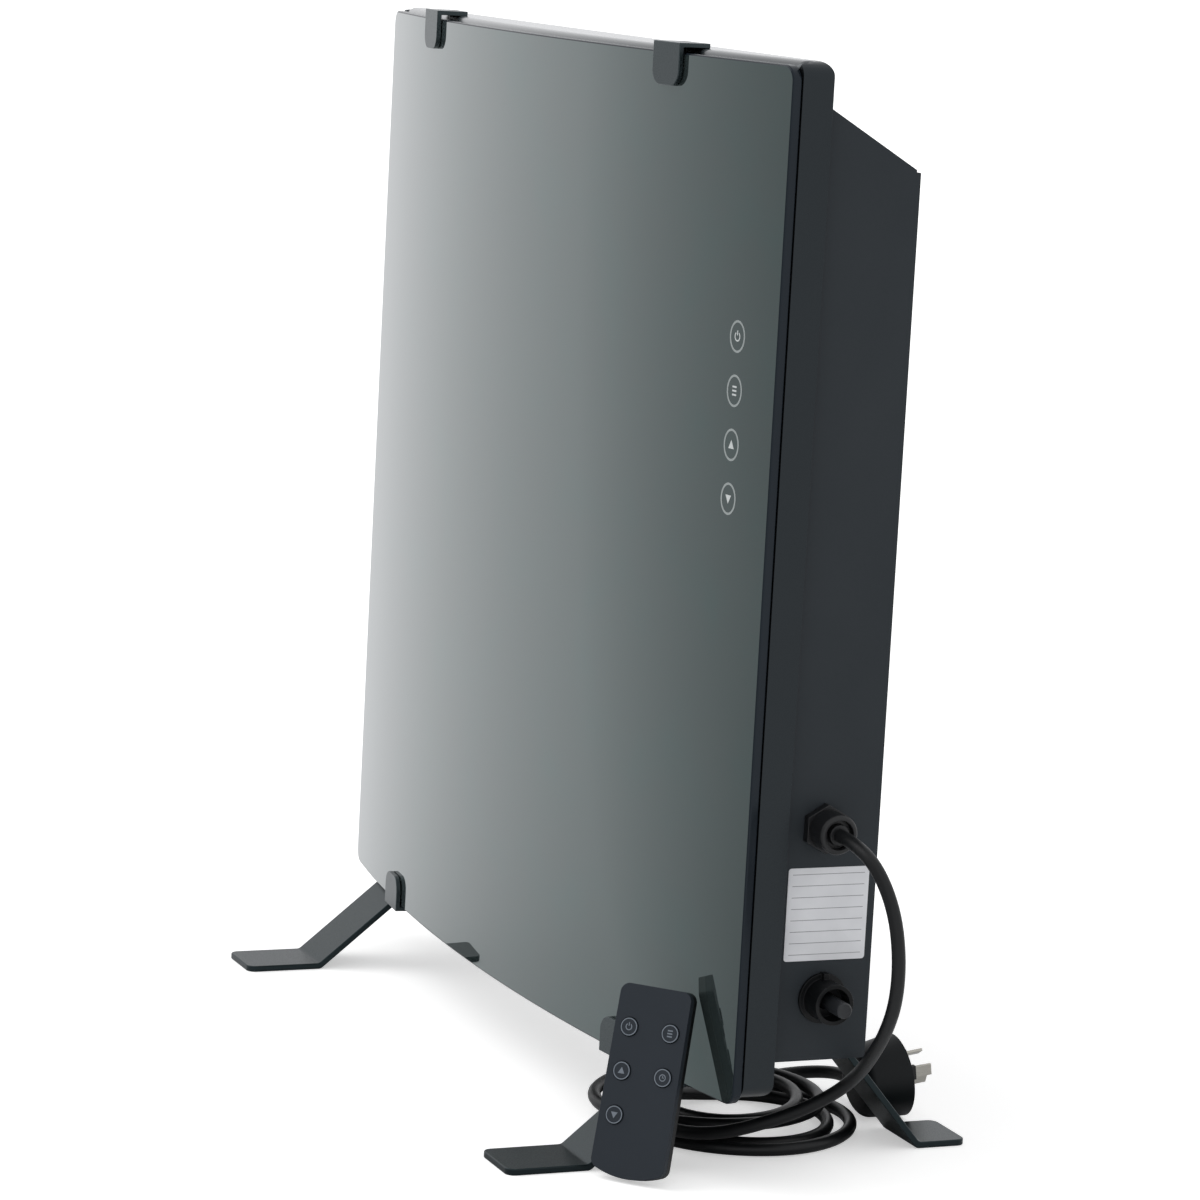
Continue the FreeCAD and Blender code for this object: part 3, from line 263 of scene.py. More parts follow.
def glassSkin(name, look):
    material, tree, shader = newMaterial(name)
    drift = spread(tree, noiseOf(tree, glassNoise["driftScale"], glassNoise["driftDetail"]), 0, 1)
    haze = noiseOf(tree, glassNoise["hazeScale"], glassNoise["hazeDetail"])
    feedAll(tree, shader, {
        "Base Color": mixColour(tree, drift, look["body"], look["body2"]),
        "Roughness": spread(tree, haze, *look["polish"]),
        "IOR": look["ior"],
        "Specular Tint": look["tint"],
        "Coat Weight": float(look["skinIor"] > 1),
        "Coat IOR": look["skinIor"],
        "Coat Roughness": look["polish"][0]})
    return material


materials = {slot: surface(slot, look) for slot, look in finishes.items()}
materials["dark_glass"] = glassSkin("dark_glass", glassFinish)
materials["glass_edge"] = glassSkin("glass_edge", edgeFinish)

slotOf = {part["node"]: part["material_slot"] for part in frame["record"]["subparts"]}
for node, obj in frame["nodes"].items():
    obj.data.materials.clear()
    obj.data.materials.append(materials[slotOf[node]])
bodyOf = {node: body for body, nodes in frame["record"]["behaviour"]["bodies"].items() for node in nodes}
print("materials on", len(frame["nodes"]), "nodes")


# shared makers: settling modifiers, joining a piece to the frame, flat prisms and outlines
def settle(piece):
    bpy.context.view_layer.update()
    graph = bpy.context.evaluated_depsgraph_get()
    mesh = bpy.data.meshes.new_from_object(piece.evaluated_get(graph))
    piece.modifiers.clear()
    piece.data = mesh


def smoothNormals(mesh, angle):
    mesh.shade_smooth()
    mesh.set_sharp_from_angle(angle=math.radians(angle))


def newPiece(name, work, *slots):
    mesh = bpy.data.meshes.new(name)
    work.to_mesh(mesh)
    work.free()
    for slot in slots:
        mesh.materials.append(materials[slot])
    piece = bpy.data.objects.new(name, mesh)
    scene.collection.objects.link(piece)
    return piece


def join(piece, body, slot, *nodes):
    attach(piece, body)
    if nodes:
        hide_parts(*nodes)


def easeEdges(piece, width, segments, sharpOver):
    bevel = piece.modifiers.new("ease", "BEVEL")
    bevel.width = width
    bevel.segments = segments
    bevel.limit_method = "ANGLE"
    bevel.angle_limit = math.radians(sharpOver)


def addPrism(work, outline, place, depth):
    # a flat outline pushed out along the local Z
    low = [work.verts.new(place @ Vector((x, y, 0))) for x, y in outline]
    high = [work.verts.new(place @ Vector((x, y, depth))) for x, y in outline]
    work.faces.new(high)
    work.faces.new(low[::-1])
    for k in range(len(outline)):
        j = (k + 1) % len(outline)
        work.faces.new((low[k], low[j], high[j], high[k]))


def addRing(work, outer, inner, place, depth):
    # the band between two outlines with the same number of points
    rings = [[work.verts.new(place @ Vector((x, y, z))) for x, y in line]
             for z in (0, depth) for line in (outer, inner)]
    lowOut, lowIn, highOut, highIn = rings
    for k in range(len(outer)):
        j = (k + 1) % len(outer)
        work.faces.new((highOut[k], highOut[j], highIn[j], highIn[k]))
        work.faces.new((lowOut[j], lowOut[k], lowIn[k], lowIn[j]))
        work.faces.new((lowOut[k], lowOut[j], highOut[j], highOut[k]))
        work.faces.new((lowIn[j], lowIn[k], highIn[k], highIn[j]))


def oval(halfWidth, halfHeight, count=48):
    turns = [2 * math.pi * k / count for k in range(count)]
    return [(halfWidth * math.cos(turn), halfHeight * math.sin(turn)) for turn in turns]


def bar(x, y, width, height):
    return [(x - width / 2, y - height / 2), (x + width / 2, y - height / 2),
            (x + width / 2, y + height / 2), (x - width / 2, y + height / 2)]


def arcBand(outer, inner, start, end, count=28):
    turns = [math.radians(start + (end - start) * k / count) for k in range(count + 1)]
    return ([(outer * math.cos(turn), outer * math.sin(turn)) for turn in turns]
            + [(inner * math.cos(turn), inner * math.sin(turn)) for turn in reversed(turns)])


def roundedOutline(width, height, corner, steps=6):
    points = []
    for k, (sx, sy) in enumerate(((1, 1), (-1, 1), (-1, -1), (1, -1))):
        for step in range(steps + 1):
            turn = math.pi / 2 * (k + step / steps)
            points.append((sx * (width / 2 - corner) + corner * math.cos(turn),
                           sy * (height / 2 - corner) + corner * math.sin(turn)))
    return points


# curved glass, made finer than the solid so that reflections stay smooth
glassLook = {"halfWidth": 283 * mm, "low": 45 * mm, "high": 565 * mm, "radius": 1614.28 * mm,
             "frontY": -57 * mm, "thickness": 5 * mm, "corner": 8 * mm, "edge": 0.9 * mm,
             "rearEdge": 0.2 * mm, "easeShare": 0.3, "columns": 150, "cornerSteps": 10, "smoothUnder": 15.0}


def onArc(x, depth):
    reach = glassLook["radius"] - depth
    turn = math.asin(x / glassLook["radius"])
    return reach * math.sin(turn), glassLook["frontY"] + glassLook["radius"] - reach * math.cos(turn)


def glassRing(inset, depth):
    # the upper and lower lines of the rounded outline, left to right
    look = glassLook
    half, corner = look["halfWidth"] - inset, look["corner"] - inset
    turns = [math.pi / 2 * k / look["cornerSteps"] for k in range(look["cornerSteps"] + 1)]
    left = [(-half + corner - corner * math.cos(turn), corner * math.sin(turn) - corner) for turn in turns]
    span = half - corner
    middle = [(-span + 2 * span * k / look["columns"], 0) for k in range(1, look["columns"])]
    line = left + middle + [(-x, drop) for x, drop in reversed(left)]
    rows = []
    for sign, z in ((1, look["high"] - inset), (-1, look["low"] + inset)):
        rows.append([Vector((*onArc(x, depth), z + sign * drop)) for x, drop in line])
    return rows


def addGlass():
    edge, rear, thick, share = (glassLook[key] for key in ("edge", "rearEdge", "thickness", "easeShare"))
    steps = [(edge, 0), (edge * share, edge * share), (0, edge),
             (0, thick - rear), (rear * share, thick - rear * share), (rear, thick)]
    work = bmesh.new()
    rings = [[[work.verts.new(place) for place in row] for row in glassRing(*step)] for step in steps]
    last = len(rings[0][0]) - 1
    for k in range(last):
        for (high, low), turned in ((rings[0], False), (rings[-1], True)):
            face = (low[k], low[k + 1], high[k + 1], high[k])
            work.faces.new(face[::-1] if turned else face)
    for (high, low), (high2, low2) in zip(rings, rings[1:]):
        bands = [(high[k], high[k + 1], high2[k + 1], high2[k]) for k in range(last)]
        bands += [(low[k + 1], low[k], low2[k], low2[k + 1]) for k in range(last)]
        bands += [(low[0], high[0], high2[0], low2[0]), (high[last], low[last], low2[last], high2[last])]
        for band in bands:
            work.faces.new(band).material_index = 1
    glass = newPiece("curved_glass", work, "dark_glass", "glass_edge")
    smoothNormals(glass.data, glassLook["smoothUnder"])
    join(glass, "heater", "dark_glass", "glass_panel")


addGlass()
print("glass made")


# eased copies of the solids that show, each with its own edge radius in millimetres
easedEdges = {"bezel_frame": 0.5, "rear_housing": 0.35, "back_panel": 0.35,
              "foot_left": 0.6, "foot_right": 0.6, "clip_top_left": 0.7, "clip_top_right": 0.7,
              "clip_bottom_left": 0.7, "clip_bottom_right": 0.7, "gland_body": 0.6, "gland_nut": 0.35,
              "switch_collar": 0.35, "push_button": 0.2, "plug_body": 0.6, "plug_pins": 0.3,
              "pin_sleeves": 0.15, "remote_face": 0.5, "remote_back": 0.5, "remote_battery_door": 0.15,
              "remote_key_power": 0.25, "remote_key_mode": 0.25, "remote_key_up": 0.25,
              "remote_key_timer": 0.25, "remote_key_down": 0.25}
easing = {"mergeWithin": 0.004 * mm, "flatWithin": 0.4, "sharpOver": 38.0, "smoothUnder": 34.0,
          "segments": 3}
# the frame's top front edge is rounded more, just behind the top of the glass
rimLook = {"radius": 7 * mm, "segments": 8, "roundness": 0.5, "facing": 0.8, "above": 306 * mm}


def rimEdges(work):
    # edges between the frame's front and its top
    work.normal_update()
    picked = []
    for edge in work.edges:
        if len(edge.link_faces) == 2 and edge.verts[0].co.z > rimLook["above"]:
            front, top = sorted(edge.link_faces, key=lambda face: face.normal.y)
            if front.normal.y < -rimLook["facing"] and top.normal.z > rimLook["facing"]:
                picked.append(edge)
    return picked


def easedCopy(node, width):
    work = bmesh.new()
    work.from_mesh(frame["nodes"][node].data)
    bmesh.ops.remove_doubles(work, verts=work.verts, dist=easing["mergeWithin"])
    flatAngle = math.radians(easing["flatWithin"])
    bmesh.ops.dissolve_limit(work, angle_limit=flatAngle, verts=work.verts, edges=work.edges)
    if node == "bezel_frame":
        bmesh.ops.bevel(work, geom=rimEdges(work), offset=rimLook["radius"], segments=rimLook["segments"],
                        profile=rimLook["roundness"], affect="EDGES", clamp_overlap=False)
    piece = newPiece(node + "_eased", work, slotOf[node])
    smoothNormals(piece.data, easing["smoothUnder"])
    easeEdges(piece, width * mm, easing["segments"], easing["sharpOver"])
    flats = piece.modifiers.new("flats", "WEIGHTED_NORMAL")
    flats.mode = "FACE_AREA_WITH_ANGLE"
    flats.keep_sharp = True
    settle(piece)
    join(piece, bodyOf[node], slotOf[node], node)
    return piece


eased = {node: easedCopy(node, width) for node, width in easedEdges.items()}
easedTriangles = sum(len(piece.data.loop_triangles) for piece in eased.values())
print("eased copies", len(eased), "triangles", easedTriangles)


# node trees for what repeats
def newTree(name, sizes):
    tree = bpy.data.node_groups.new(name, "GeometryNodeTree")
    tree.interface.new_socket(name="Geometry", in_out="INPUT", socket_type="NodeSocketGeometry")
    for key in sizes:
        tree.interface.new_socket(name=key, in_out="INPUT", socket_type="NodeSocketFloat")
    tree.interface.new_socket(name="Geometry", in_out="OUTPUT", socket_type="NodeSocketGeometry")
    return tree, tree.nodes.new("NodeGroupInput").outputs, tree.nodes.new("NodeGroupOutput")


def runTree(piece, tree, sizes):
    modifier = piece.modifiers.new(tree.name, "NODES")
    modifier.node_group = tree
    for item in tree.interface.items_tree:
        if item.item_type == "SOCKET" and item.in_out == "INPUT" and item.name in sizes:
            modifier[item.identifier] = sizes[item.name]
    settle(piece)


def endTree(tree, output, instances, slot):
    whole = addNode(tree, "GeometryNodeRealizeInstances")
    finish = addNode(tree, "GeometryNodeSetMaterial", Material=materials[slot])
    feed(tree, whole.inputs["Geometry"], instances)
    feed(tree, finish.inputs["Geometry"], whole.outputs["Geometry"])
    feed(tree, output.inputs["Geometry"], finish.outputs["Geometry"])


def raised(tree, shape, height):
    node = addNode(tree, "GeometryNodeTransform")
    feedAll(tree, node, {"Geometry": shape, "Translation": vectorOf(tree, 0.0, 0.0, height)})
    return node.outputs["Geometry"]


def boxOf(tree, x, y, z):
    node = addNode(tree, "GeometryNodeMeshCube")
    feed(tree, node.inputs["Size"], vectorOf(tree, x, y, z))
    return node.outputs["Mesh"]


# screws: a short skirt, a sloped crown and a cross recess, set on points that carry their axis
panelScrew = {"headDiameter": 7 * mm, "headHeight": 2.2 * mm, "crownShare": 0.6, "crownTop": 0.68,
              "crossLength": 3.9 * mm, "crossWidth": 0.85 * mm, "crossDepth": 1.3 * mm}
clipScrew = {"headDiameter": 5 * mm, "headHeight": 1.8 * mm, "crownShare": 0.15, "crownTop": 0.93,
             "crossLength": 2.8 * mm, "crossWidth": 0.65 * mm, "crossDepth": 1.0 * mm}
screwLooks = {"back_screws": panelScrew, "foot_screws": panelScrew, "clip_screws": clipScrew}
screwMake = {"sides": 28, "seed": 7, "smoothUnder": 30.0}
screwPlaces = {"backX": 263 * mm, "backY": 43 * mm, "backRows": (79.5 * mm, 290 * mm, 500.5 * mm),
               "footX": 211 * mm, "footZ": 62 * mm, "footRows": (2 * mm, 28.7 * mm),
               "clipX": 170 * mm, "clipBack": 10 * mm, "clipHigh": 568.2 * mm, "clipLow": 44 * mm}
# a random value's float sockets go by place too
chancePlaces = {"most": 3, "value": 1}


def screwHead(tree, size):
    radius = mathOf(tree, "MULTIPLY", size["headDiameter"], 0.5)
    crown = mathOf(tree, "MULTIPLY", size["headHeight"], size["crownShare"])
    skirt = mathOf(tree, "SUBTRACT", size["headHeight"], crown)
    topRadius = mathOf(tree, "MULTIPLY", radius, size["crownTop"])
    cones = []
    for low, high, depth in ((radius, radius, skirt), (radius, topRadius, crown)):
        cone = addNode(tree, "GeometryNodeMeshCone", Vertices=screwMake["sides"])
        feedAll(tree, cone, {"Radius Bottom": low, "Radius Top": high, "Depth": depth})
        cones.append(cone.outputs["Mesh"])
    head = addNode(tree, "GeometryNodeMeshBoolean", operation="UNION")
    feed(tree, head.inputs["Mesh 2"], cones[0])
    feed(tree, head.inputs["Mesh 2"], raised(tree, cones[1], skirt))
    return head.outputs["Mesh"]


def crossRecess(tree, size, head):
    recess = addNode(tree, "GeometryNodeMeshBoolean", operation="DIFFERENCE")
    feed(tree, recess.inputs["Mesh 1"], head)
    tall = mathOf(tree, "MULTIPLY", size["crossDepth"], 2.0)
    for long, wide in ((size["crossLength"], size["crossWidth"]), (size["crossWidth"], size["crossLength"])):
        slot = raised(tree, boxOf(tree, long, wide, tall), size["headHeight"])
        feed(tree, recess.inputs["Mesh 2"], slot)
    return recess.outputs["Mesh"]


def screwTurn(tree):
    # along the point's axis, then turned about it by chance
    axis = addNode(tree, "GeometryNodeInputNamedAttribute", data_type="FLOAT_VECTOR", Name="axis")
    aimed = addNode(tree, "FunctionNodeAlignRotationToVector", axis="Z")
    feed(tree, aimed.inputs["Vector"], axis.outputs["Attribute"])
    chance = addNode(tree, "FunctionNodeRandomValue", data_type="FLOAT", Seed=screwMake["seed"])
    feed(tree, chance.inputs[chancePlaces["most"]], math.pi)
    turn = vectorOf(tree, 0.0, 0.0, chance.outputs[chancePlaces["value"]])
    spin = addNode(tree, "FunctionNodeRotateRotation", rotation_space="LOCAL")
    feedAll(tree, spin, {"Rotation": aimed.outputs["Rotation"], "Rotate By": turn})
    return spin.outputs["Rotation"]


def screwTree(sizes):
    tree, size, output = newTree("crossScrews", sizes)
    screw = crossRecess(tree, size, screwHead(tree, size))
    copies = addNode(tree, "GeometryNodeInstanceOnPoints")
    feedAll(tree, copies, {"Points": size["Geometry"], "Instance": screw, "Rotation": screwTurn(tree)})
    endTree(tree, output, copies.outputs["Instances"], "screw_steel")
    return tree


def clipSeat(side, z):
    x = side * screwPlaces["clipX"]
    turn = math.asin(x / glassLook["radius"])
    frontX, frontY = onArc(x, 0)
    back = screwPlaces["clipBack"]
    return frontX - back * math.sin(turn), frontY + back * math.cos(turn), z


def screwSeats():
    place = screwPlaces
    seats = {"back_screws": [], "foot_screws": [], "clip_screws": []}
    for side in (-1, 1):
        for z in place["backRows"]:
            seats["back_screws"].append(((side * place["backX"], place["backY"], z), (0, 1, 0)))
        for y in place["footRows"]:
            seats["foot_screws"].append(((side * place["footX"], y, place["footZ"]), (0, 0, -1)))
        seats["clip_screws"].append((clipSeat(side, place["clipHigh"]), (0, 0, 1)))
        seats["clip_screws"].append((clipSeat(side, place["clipLow"]), (0, 0, -1)))
    return seats


def addScrews():
    tree = screwTree(panelScrew)
    for node, seats in screwSeats().items():
        mesh = bpy.data.meshes.new(node + "_cross")
        mesh.from_pydata([place for place, axis in seats], [], [])
        mesh.attributes.new("axis", "FLOAT_VECTOR", "POINT").data.foreach_set(
            "vector", [value for place, axis in seats for value in axis])
        piece = bpy.data.objects.new(node + "_cross", mesh)
        scene.collection.objects.link(piece)
        runTree(piece, tree, screwLooks[node])
        smoothNormals(piece.data, screwMake["smoothUnder"])
        join(piece, "heater", "screw_steel", node)
        print(node, "faces", len(piece.data.polygons))


addScrews()


# blank rating plate with ruled rows on the right wall
plateLook = {"wallX": 277 * mm, "middle": (16.5 * mm, 141.5 * mm), "width": 45 * mm, "height": 48 * mm,
             "corner": 1.6 * mm, "thickness": 0.3 * mm, "ease": 0.12 * mm, "segments": 2, "sharpOver": 30.0,
             "smoothUnder": 50.0}
ruleLook = {"rowCount": 8.0, "rowPitch": 5.9 * mm, "ruleLength": 40 * mm, "ruleWidth": 0.32 * mm,
            "ruleDepth": 0.04 * mm}


def wallPlace(y, z):
    # local X runs along the wall, local Y up and local Z out of it
    spin = Matrix(((0, 0, 1), (1, 0, 0), (0, 1, 0))).to_4x4()
    return Matrix.Translation((plateLook["wallX"], y, z)) @ spin


def addPlate():
    look = plateLook
    work = bmesh.new()
    outline = roundedOutline(look["width"], look["height"], look["corner"])
    addPrism(work, outline, wallPlace(*look["middle"]), look["thickness"])
    plate = newPiece("rating_plate", work, "plate_white")
    easeEdges(plate, look["ease"], look["segments"], look["sharpOver"])
    settle(plate)
    smoothNormals(plate.data, look["smoothUnder"])
    join(plate, "heater", "plate_white")


def ruleTree(sizes):
    tree, size, output = newTree("ruledRows", sizes)
    line = addNode(tree, "GeometryNodeMeshLine", mode="OFFSET")
    feedAll(tree, line, {"Count": size["rowCount"], "Offset": vectorOf(tree, 0.0, 0.0, size["rowPitch"])})
    stroke = boxOf(tree, size["ruleDepth"], size["ruleLength"], size["ruleWidth"])
    copies = addNode(tree, "GeometryNodeInstanceOnPoints")
    feedAll(tree, copies, {"Points": line.outputs["Mesh"], "Instance": stroke})
    endTree(tree, output, copies.outputs["Instances"], "plate_rule")
    return tree


def addRules():
    rules = newPiece("plate_rules", bmesh.new())
    runTree(rules, ruleTree(ruleLook), ruleLook)
    y, z = plateLook["middle"]
    low = z - ruleLook["rowPitch"] * (ruleLook["rowCount"] - 1) / 2
    rules.data.transform(Matrix.Translation((plateLook["wallX"] + plateLook["thickness"], y, low)))
    join(rules, "heater", "plate_white")


addPlate()
addRules()
print("plate made")


# signs for the glass and the keys; each takes its half size, and its own sizes are shares of that
powerShares = {"inner": 0.72, "stroke": 0.3, "length": 0.95}
powerTurn = (125, 415)
modeShares = {"pitch": 0.8, "length": 1.5, "stroke": 0.36}
timerShares = {"inner": 0.74, "stroke": 0.24, "tall": 0.6, "tallAt": 0.26, "wide": 0.5, "wideAt": 0.2}
timerTurn = (0, 359)
arrowShares = {"foot": 0.75}


def powerGlyph(size):
    inner, stroke, length = (size * share for share in powerShares.values())
    return [arcBand(size, inner, *powerTurn), bar(0, inner, stroke, length)]


def modeGlyph(size):
    pitch, length, stroke = (size * share for share in modeShares.values())
    return [bar(0, pitch * step, length, stroke) for step in (-1, 0, 1)]


def timerGlyph(size):
    inner, stroke, tall, tallAt, wide, wideAt = (size * share for share in timerShares.values())
    return [arcBand(size, inner, *timerTurn), bar(0, tallAt, stroke, tall), bar(wideAt, 0, wide, stroke)]


def upGlyph(size):
    foot = size * arrowShares["foot"]
    return [[(-size, -foot), (size, -foot), (0, size)]]


def downGlyph(size):
    foot = size * arrowShares["foot"]
    return [[(0, -size), (size, foot), (-size, foot)]]


# touch signs printed on the glass, from the top down
signLook = {"x": 248 * mm, "firstRow": 429.5 * mm, "rowPitch": 27 * mm, "halfWidth": 6.8 * mm,
            "halfHeight": 8.1 * mm, "stroke": 1.15 * mm, "glyph": 2.5 * mm, "lift": 0.02 * mm,
            "depth": 0.05 * mm}


def glassPlace(x, z):
    turn = math.asin(x / glassLook["radius"])
    frontX, frontY = onArc(x, -signLook["lift"])
    across = Vector((math.cos(turn), math.sin(turn), 0))
    out = Vector((math.sin(turn), -math.cos(turn), 0))
    spin = Matrix((across, Vector((0, 0, 1)), out)).transposed().to_4x4()
    return Matrix.Translation((frontX, frontY, z)) @ spin


def addTouchSigns():
    look = signLook
    rings, glyphs = bmesh.new(), bmesh.new()
    outer = oval(look["halfWidth"], look["halfHeight"])
    inner = oval(look["halfWidth"] - look["stroke"], look["halfHeight"] - look["stroke"])
    for index, maker in enumerate((powerGlyph, modeGlyph, upGlyph, downGlyph)):
        place = glassPlace(look["x"], look["firstRow"] - look["rowPitch"] * index)
        addRing(rings, outer, inner, place, look["depth"])
        for outline in maker(look["glyph"]):
            addPrism(glyphs, outline, place, look["depth"])
    join(newPiece("touch_rings", rings, "print_grey"), "heater", "print_light")
    join(newPiece("touch_glyphs", glyphs, "print_light"), "heater", "print_light")


# the keys' signs lie on the caps, in the remote control's leaned frame
keyLook = {"base": (255 * mm, -76.5 * mm), "turn": 41.3, "lean": 15.6, "thickness": 8 * mm,
           "floorGap": 0.3 * mm, "rise": 0.7 * mm, "columnPitch": 23 * mm, "firstRow": 76 * mm,
           "rowPitch": 22.5 * mm, "ring": 4.5 * mm, "stroke": 0.5 * mm, "glyph": 1.85 * mm,
           "lift": 0.01 * mm, "depth": 0.04 * mm}
keyGlyphs = {"power": powerGlyph, "mode": modeGlyph, "up": upGlyph, "timer": timerGlyph, "down": downGlyph}


def keyFrame():
    lean = math.radians(keyLook["lean"])
    lift = keyLook["thickness"] * math.sin(lean) + keyLook["floorGap"]
    stand = Matrix.Translation((*keyLook["base"], lift))
    turned = Matrix.Rotation(math.radians(keyLook["turn"]), 4, "Z")
    return stand @ turned @ Matrix.Rotation(math.pi / 2 - lean, 4, "X")


def addKeySigns():
    look = keyLook
    outer = oval(look["ring"], look["ring"])
    inner = oval(look["ring"] - look["stroke"], look["ring"] - look["stroke"])
    for index, (key, maker) in enumerate(keyGlyphs.items()):
        row, column = divmod(index, 2)
        x = look["columnPitch"] * (column - 0.5)
        y = look["firstRow"] - look["rowPitch"] * row
        place = keyFrame() @ Matrix.Translation((x, y, look["rise"] + look["lift"]))
        work = bmesh.new()
        addRing(work, outer, inner, place, look["depth"])
        for outline in maker(look["glyph"]):
            addPrism(work, outline, place, look["depth"])
        join(newPiece("key_sign_" + key, work, "print_faint"), "remote_key_" + key, "print_light")


addTouchSigns()
addKeySigns()
print("signs made")


# mains cord: one smooth line from the gland, round its loose coil, to the plug
cordLook = {"diameter": 7 * mm, "turnRadius": 64 * mm, "turnStep": 5.5 * mm, "halfTurns": 4,
            "startAngle": 170.0, "lastSweep": 130.0, "centre": (160 * mm, 19 * mm), "rise": 7.6 * mm,
            "floorGap": 0.3 * mm, "pointsPerHalf": 12, "swell": 1.0043, "leadOut": 7 * mm,
            "dropLast": 18 * mm, "tailLast": 17 * mm}
# the coil lies loose: its line wanders, and its two layers are shifted apart
looseLook = {"wander": 1.6 * mm, "waves": 2.3, "waveStep": 1.7, "lowerShift": (3.6 * mm, 8.6 * mm, 0),
             "upperShift": (-1.9 * mm, -4.5 * mm, 0), "upperLift": 3 * mm, "liftToward": 67.0,
             "upperFrom": 0.4}
cordMesh = {"order": 3, "stepsPerPoint": 6, "roundSteps": 5}
dropRoute = [(296.0, 12.0, 186.0), (310.0, 12.0, 186.0), (328.0, 17.0, 178.0), (337.5, 23.5, 158.0),
             (338.0, 28.0, 134.0), (332.0, 31.0, 110.0), (319.0, 33.0, 90.0), (299.0, 36.0, 72.0),
             (281.0, 38.5, 58.0), (268.0, 34.0, 45.5), (257.0, 21.0, 34.0), (245.0, 4.0, 24.0),
             (230.0, -11.5, 15.5)]
tailRoute = [(100.8, 69.0, 4.5), (101.5, 84.0, 6.6), (109.8, 98.4, 9.4), (124.0, 106.85, 11.7),
             (137.5, 106.85, 11.94)]


def aim(angle):
    return Vector((math.cos(angle), math.sin(angle), 0))


def easeIn(value):
    value = min(max(value, 0.0), 1.0)
    return value * value * (3 - 2 * value)


def slip(index, share, turn):
    # the lower turns lie toward the back; the upper ones lie toward the front and raised on one side
    look = looseLook
    count = cordLook["halfTurns"]
    low, high = Vector(look["lowerShift"]), Vector(look["upperShift"])
    high.z = look["upperLift"] * (1 + math.cos(turn - math.radians(look["liftToward"]))) / 2
    if index == 2 * count:
        return high * (1 - easeIn(2 * share - 1))
    return (low * easeIn(index + share)).lerp(high, easeIn(index - count + share - look["upperFrom"]))


def coilTurns():
    # half turns that spiral in on the floor, climb a layer and spiral out
    look, loose = cordLook, looseLook
    count = look["halfTurns"]
    steps = list(range(count)) + [count] + list(range(count - 1, -1, -1))
    angle = math.radians(look["startAngle"])
    height = look["diameter"] / 2 + look["floorGap"]
    place = Vector((*look["centre"], height)) + aim(angle) * look["turnRadius"]
    lead = aim(angle + math.pi / 2)
    points = [place - lead * look["leadOut"]]
    for index, step in enumerate(steps):
        radius = look["turnRadius"] - step * look["turnStep"]
        centre = place - aim(angle) * radius
        climb = look["rise"] if index == count else 0
        sweep = math.radians(look["lastSweep"]) if index == 2 * count else math.pi
        for k in range(look["pointsPerHalf"]):
            share = (k + 0.5) / look["pointsPerHalf"]
            turn = angle + sweep * share
            wave = math.sin(loose["waves"] * turn + loose["waveStep"] * index)
            wander = loose["wander"] * wave * math.sin(math.pi * share)
            shift = slip(index, share, turn) + Vector((0, 0, climb * easeIn(2 * share)))
            points.append(centre + aim(turn) * (radius * look["swell"] + wander) + shift)
        angle += sweep
        place = centre + aim(angle) * radius + Vector((0, 0, climb))
    lead = aim(angle + math.pi / 2)
    points.append(place + lead * look["leadOut"])
    return points, lead


def cordLine():
    coil, lead = coilTurns()
    startLead = aim(math.radians(cordLook["startAngle"]) + math.pi / 2)
    line = [Vector(point) * mm for point in dropRoute]
    line.append(coil[-1] + lead * cordLook["dropLast"])
    line += coil[::-1]
    line.append(coil[0] - startLead * cordLook["tailLast"])
    return line + [Vector(point) * mm for point in tailRoute]


def addCord():
    data = bpy.data.curves.new("mains_cord", "CURVE")
    data.dimensions = "3D"
    line = cordLine()
    spline = data.splines.new("NURBS")
    spline.points.add(len(line) - 1)
    for point, place in zip(spline.points, line):
        point.co = (*place, 1)
    spline.order_u = cordMesh["order"]
    spline.use_endpoint_u = True
    spline.resolution_u = cordMesh["stepsPerPoint"]
    data.bevel_depth = cordLook["diameter"] / 2
    data.bevel_resolution = cordMesh["roundSteps"]
    data.use_fill_caps = True
    data.materials.append(materials["cord_black"])
    cord = bpy.data.objects.new("mains_cord", data)
    scene.collection.objects.link(cord)
    return cord


def lineLength(data):
    bare = data.copy()
    bare.bevel_depth = 0
    holder = bpy.data.objects.new("measure", bare)
    mesh = bpy.data.meshes.new_from_object(holder)
    places = [vertex.co.copy() for vertex in mesh.vertices]
    bpy.data.objects.remove(holder)
    bpy.data.meshes.remove(mesh)
    bpy.data.curves.remove(bare)
    return sum((b - a).length for a, b in zip(places, places[1:]))


mainsCord = addCord()
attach(mainsCord, "heater")
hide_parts("cord_drop", "cord_coil", "cord_tail")
cordLength = lineLength(mainsCord.data)
print("cord length", round(cordLength, 3))


# floor, light and surroundings
# mirrored and dim are the room's light in the world, and painted shade on the floor as mirrors show it
stageLook = {"floor": (0.93, 0.93, 0.93), "floorRoughness": 0.9, "floorGlow": 0.45, "reach": 70.0,
             "skyFill": 0.78, "skyShown": 1.0, "mirrored": (0.975, 0.982, 1.0), "dim": (0.54, 0.545, 0.56),
             "dimRange": (-0.46, -0.72), "dimPoint": (0.283, -0.045, 0),
             "sunPower": 0.9, "sunSpread": 50.0, "sunTurn": (48.0, 0.0, -35.0)}
white = (1, 1, 1)


def roomTone(tree, place):
    # as mirrors show it, the room is a little dimmer straight in front; in the world this is its light, on
    # the floor it is painted shade
    turned = addNode(tree, "ShaderNodeVectorMath", operation="NORMALIZE")
    feed(tree, turned.inputs[0], place)
    facing = addNode(tree, "ShaderNodeSeparateXYZ")
    feed(tree, facing.inputs["Vector"], turned.outputs["Vector"])
    dimness = mapRange(tree, facing.outputs["Y"], stageLook["dimRange"], (0, 1))
    return mixColour(tree, dimness, stageLook["mirrored"], stageLook["dim"])


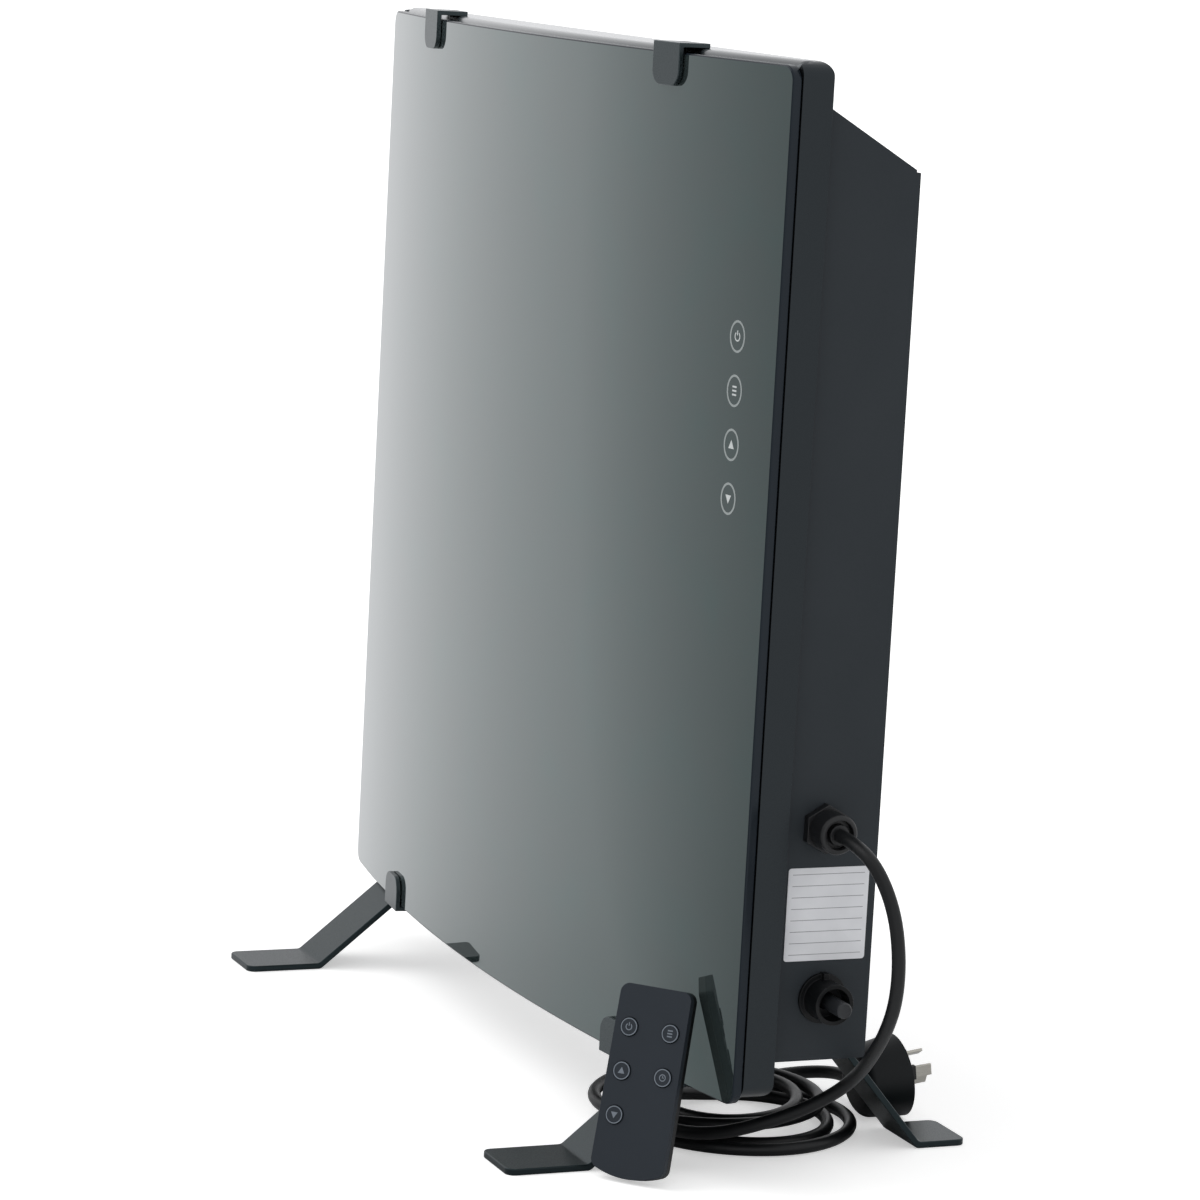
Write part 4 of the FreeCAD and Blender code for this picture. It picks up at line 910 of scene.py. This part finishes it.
def floorMaterial():
    material, tree, shader = newMaterial("pale_floor")
    path = addNode(tree, "ShaderNodeLightPath").outputs
    feedAll(tree, shader, {
        "Base Color": stageLook["floor"],
        "Roughness": stageLook["floorRoughness"],
        "Specular IOR Level": 0.0,
        "Emission Color": white,
        "Emission Strength": mathOf(tree, "MULTIPLY", path["Is Camera Ray"], stageLook["floorGlow"])})
    # mirrors show the floor with painted shade, dimmer straight in front like the room's light, so no
    # horizon crosses the glass
    away = addNode(tree, "ShaderNodeVectorMath", operation="SUBTRACT")
    feed(tree, away.inputs[0], objectPoint(tree))
    feed(tree, away.inputs[1], stageLook["dimPoint"])
    # the floor's colour for mirrors is painted shade, darker toward the front
    mirrored = addNode(tree, "ShaderNodeBsdfDiffuse")
    feed(tree, mirrored.inputs["Color"], roomTone(tree, away.outputs["Vector"]))
    mixed = addNode(tree, "ShaderNodeMixShader")
    feed(tree, mixed.inputs["Fac"], path["Is Glossy Ray"])
    feed(tree, mixed.inputs[1], shader.outputs["BSDF"])
    feed(tree, mixed.inputs[2], mirrored.outputs["BSDF"])
    feed(tree, tree.nodes["Material Output"].inputs["Surface"], mixed.outputs["Shader"])
    return material


def addFloor():
    mesh = bpy.data.meshes.new("floor")
    reach = stageLook["reach"]
    corners = [(-reach, -reach, 0), (reach, -reach, 0), (reach, reach, 0), (-reach, reach, 0)]
    mesh.from_pydata(corners, [], [(0, 1, 2, 3)])
    mesh.materials.append(floorMaterial())
    floor = bpy.data.objects.new("floor", mesh)
    scene.collection.objects.link(floor)


def addSurroundings():
    # white to the camera, the room's tones in mirrors and a softer fill for everything else
    world = bpy.data.worlds.new("softRoom")
    scene.world = world
    world.use_nodes = True
    tree = world.node_tree
    path = addNode(tree, "ShaderNodeLightPath").outputs
    shown = mathOf(tree, "MAXIMUM", path["Is Camera Ray"], path["Is Glossy Ray"])
    shown = mathOf(tree, "MAXIMUM", shown, path["Is Transmission Ray"])
    room = roomTone(tree, addNode(tree, "ShaderNodeTexCoord").outputs["Generated"])
    feedAll(tree, tree.nodes["Background"], {
        "Color": mixColour(tree, path["Is Glossy Ray"], white, room),
        "Strength": mapRange(tree, shown, (0, 1), (stageLook["skyFill"], stageLook["skyShown"]))})


def addSun():
    sun = bpy.data.lights.new("softSun", "SUN")
    sun.energy = stageLook["sunPower"]
    sun.angle = math.radians(stageLook["sunSpread"])
    lamp = bpy.data.objects.new("softSun", sun)
    lamp.rotation_euler = [math.radians(value) for value in stageLook["sunTurn"]]
    scene.collection.objects.link(lamp)


addFloor()
addSurroundings()
addSun()
print("stage set")
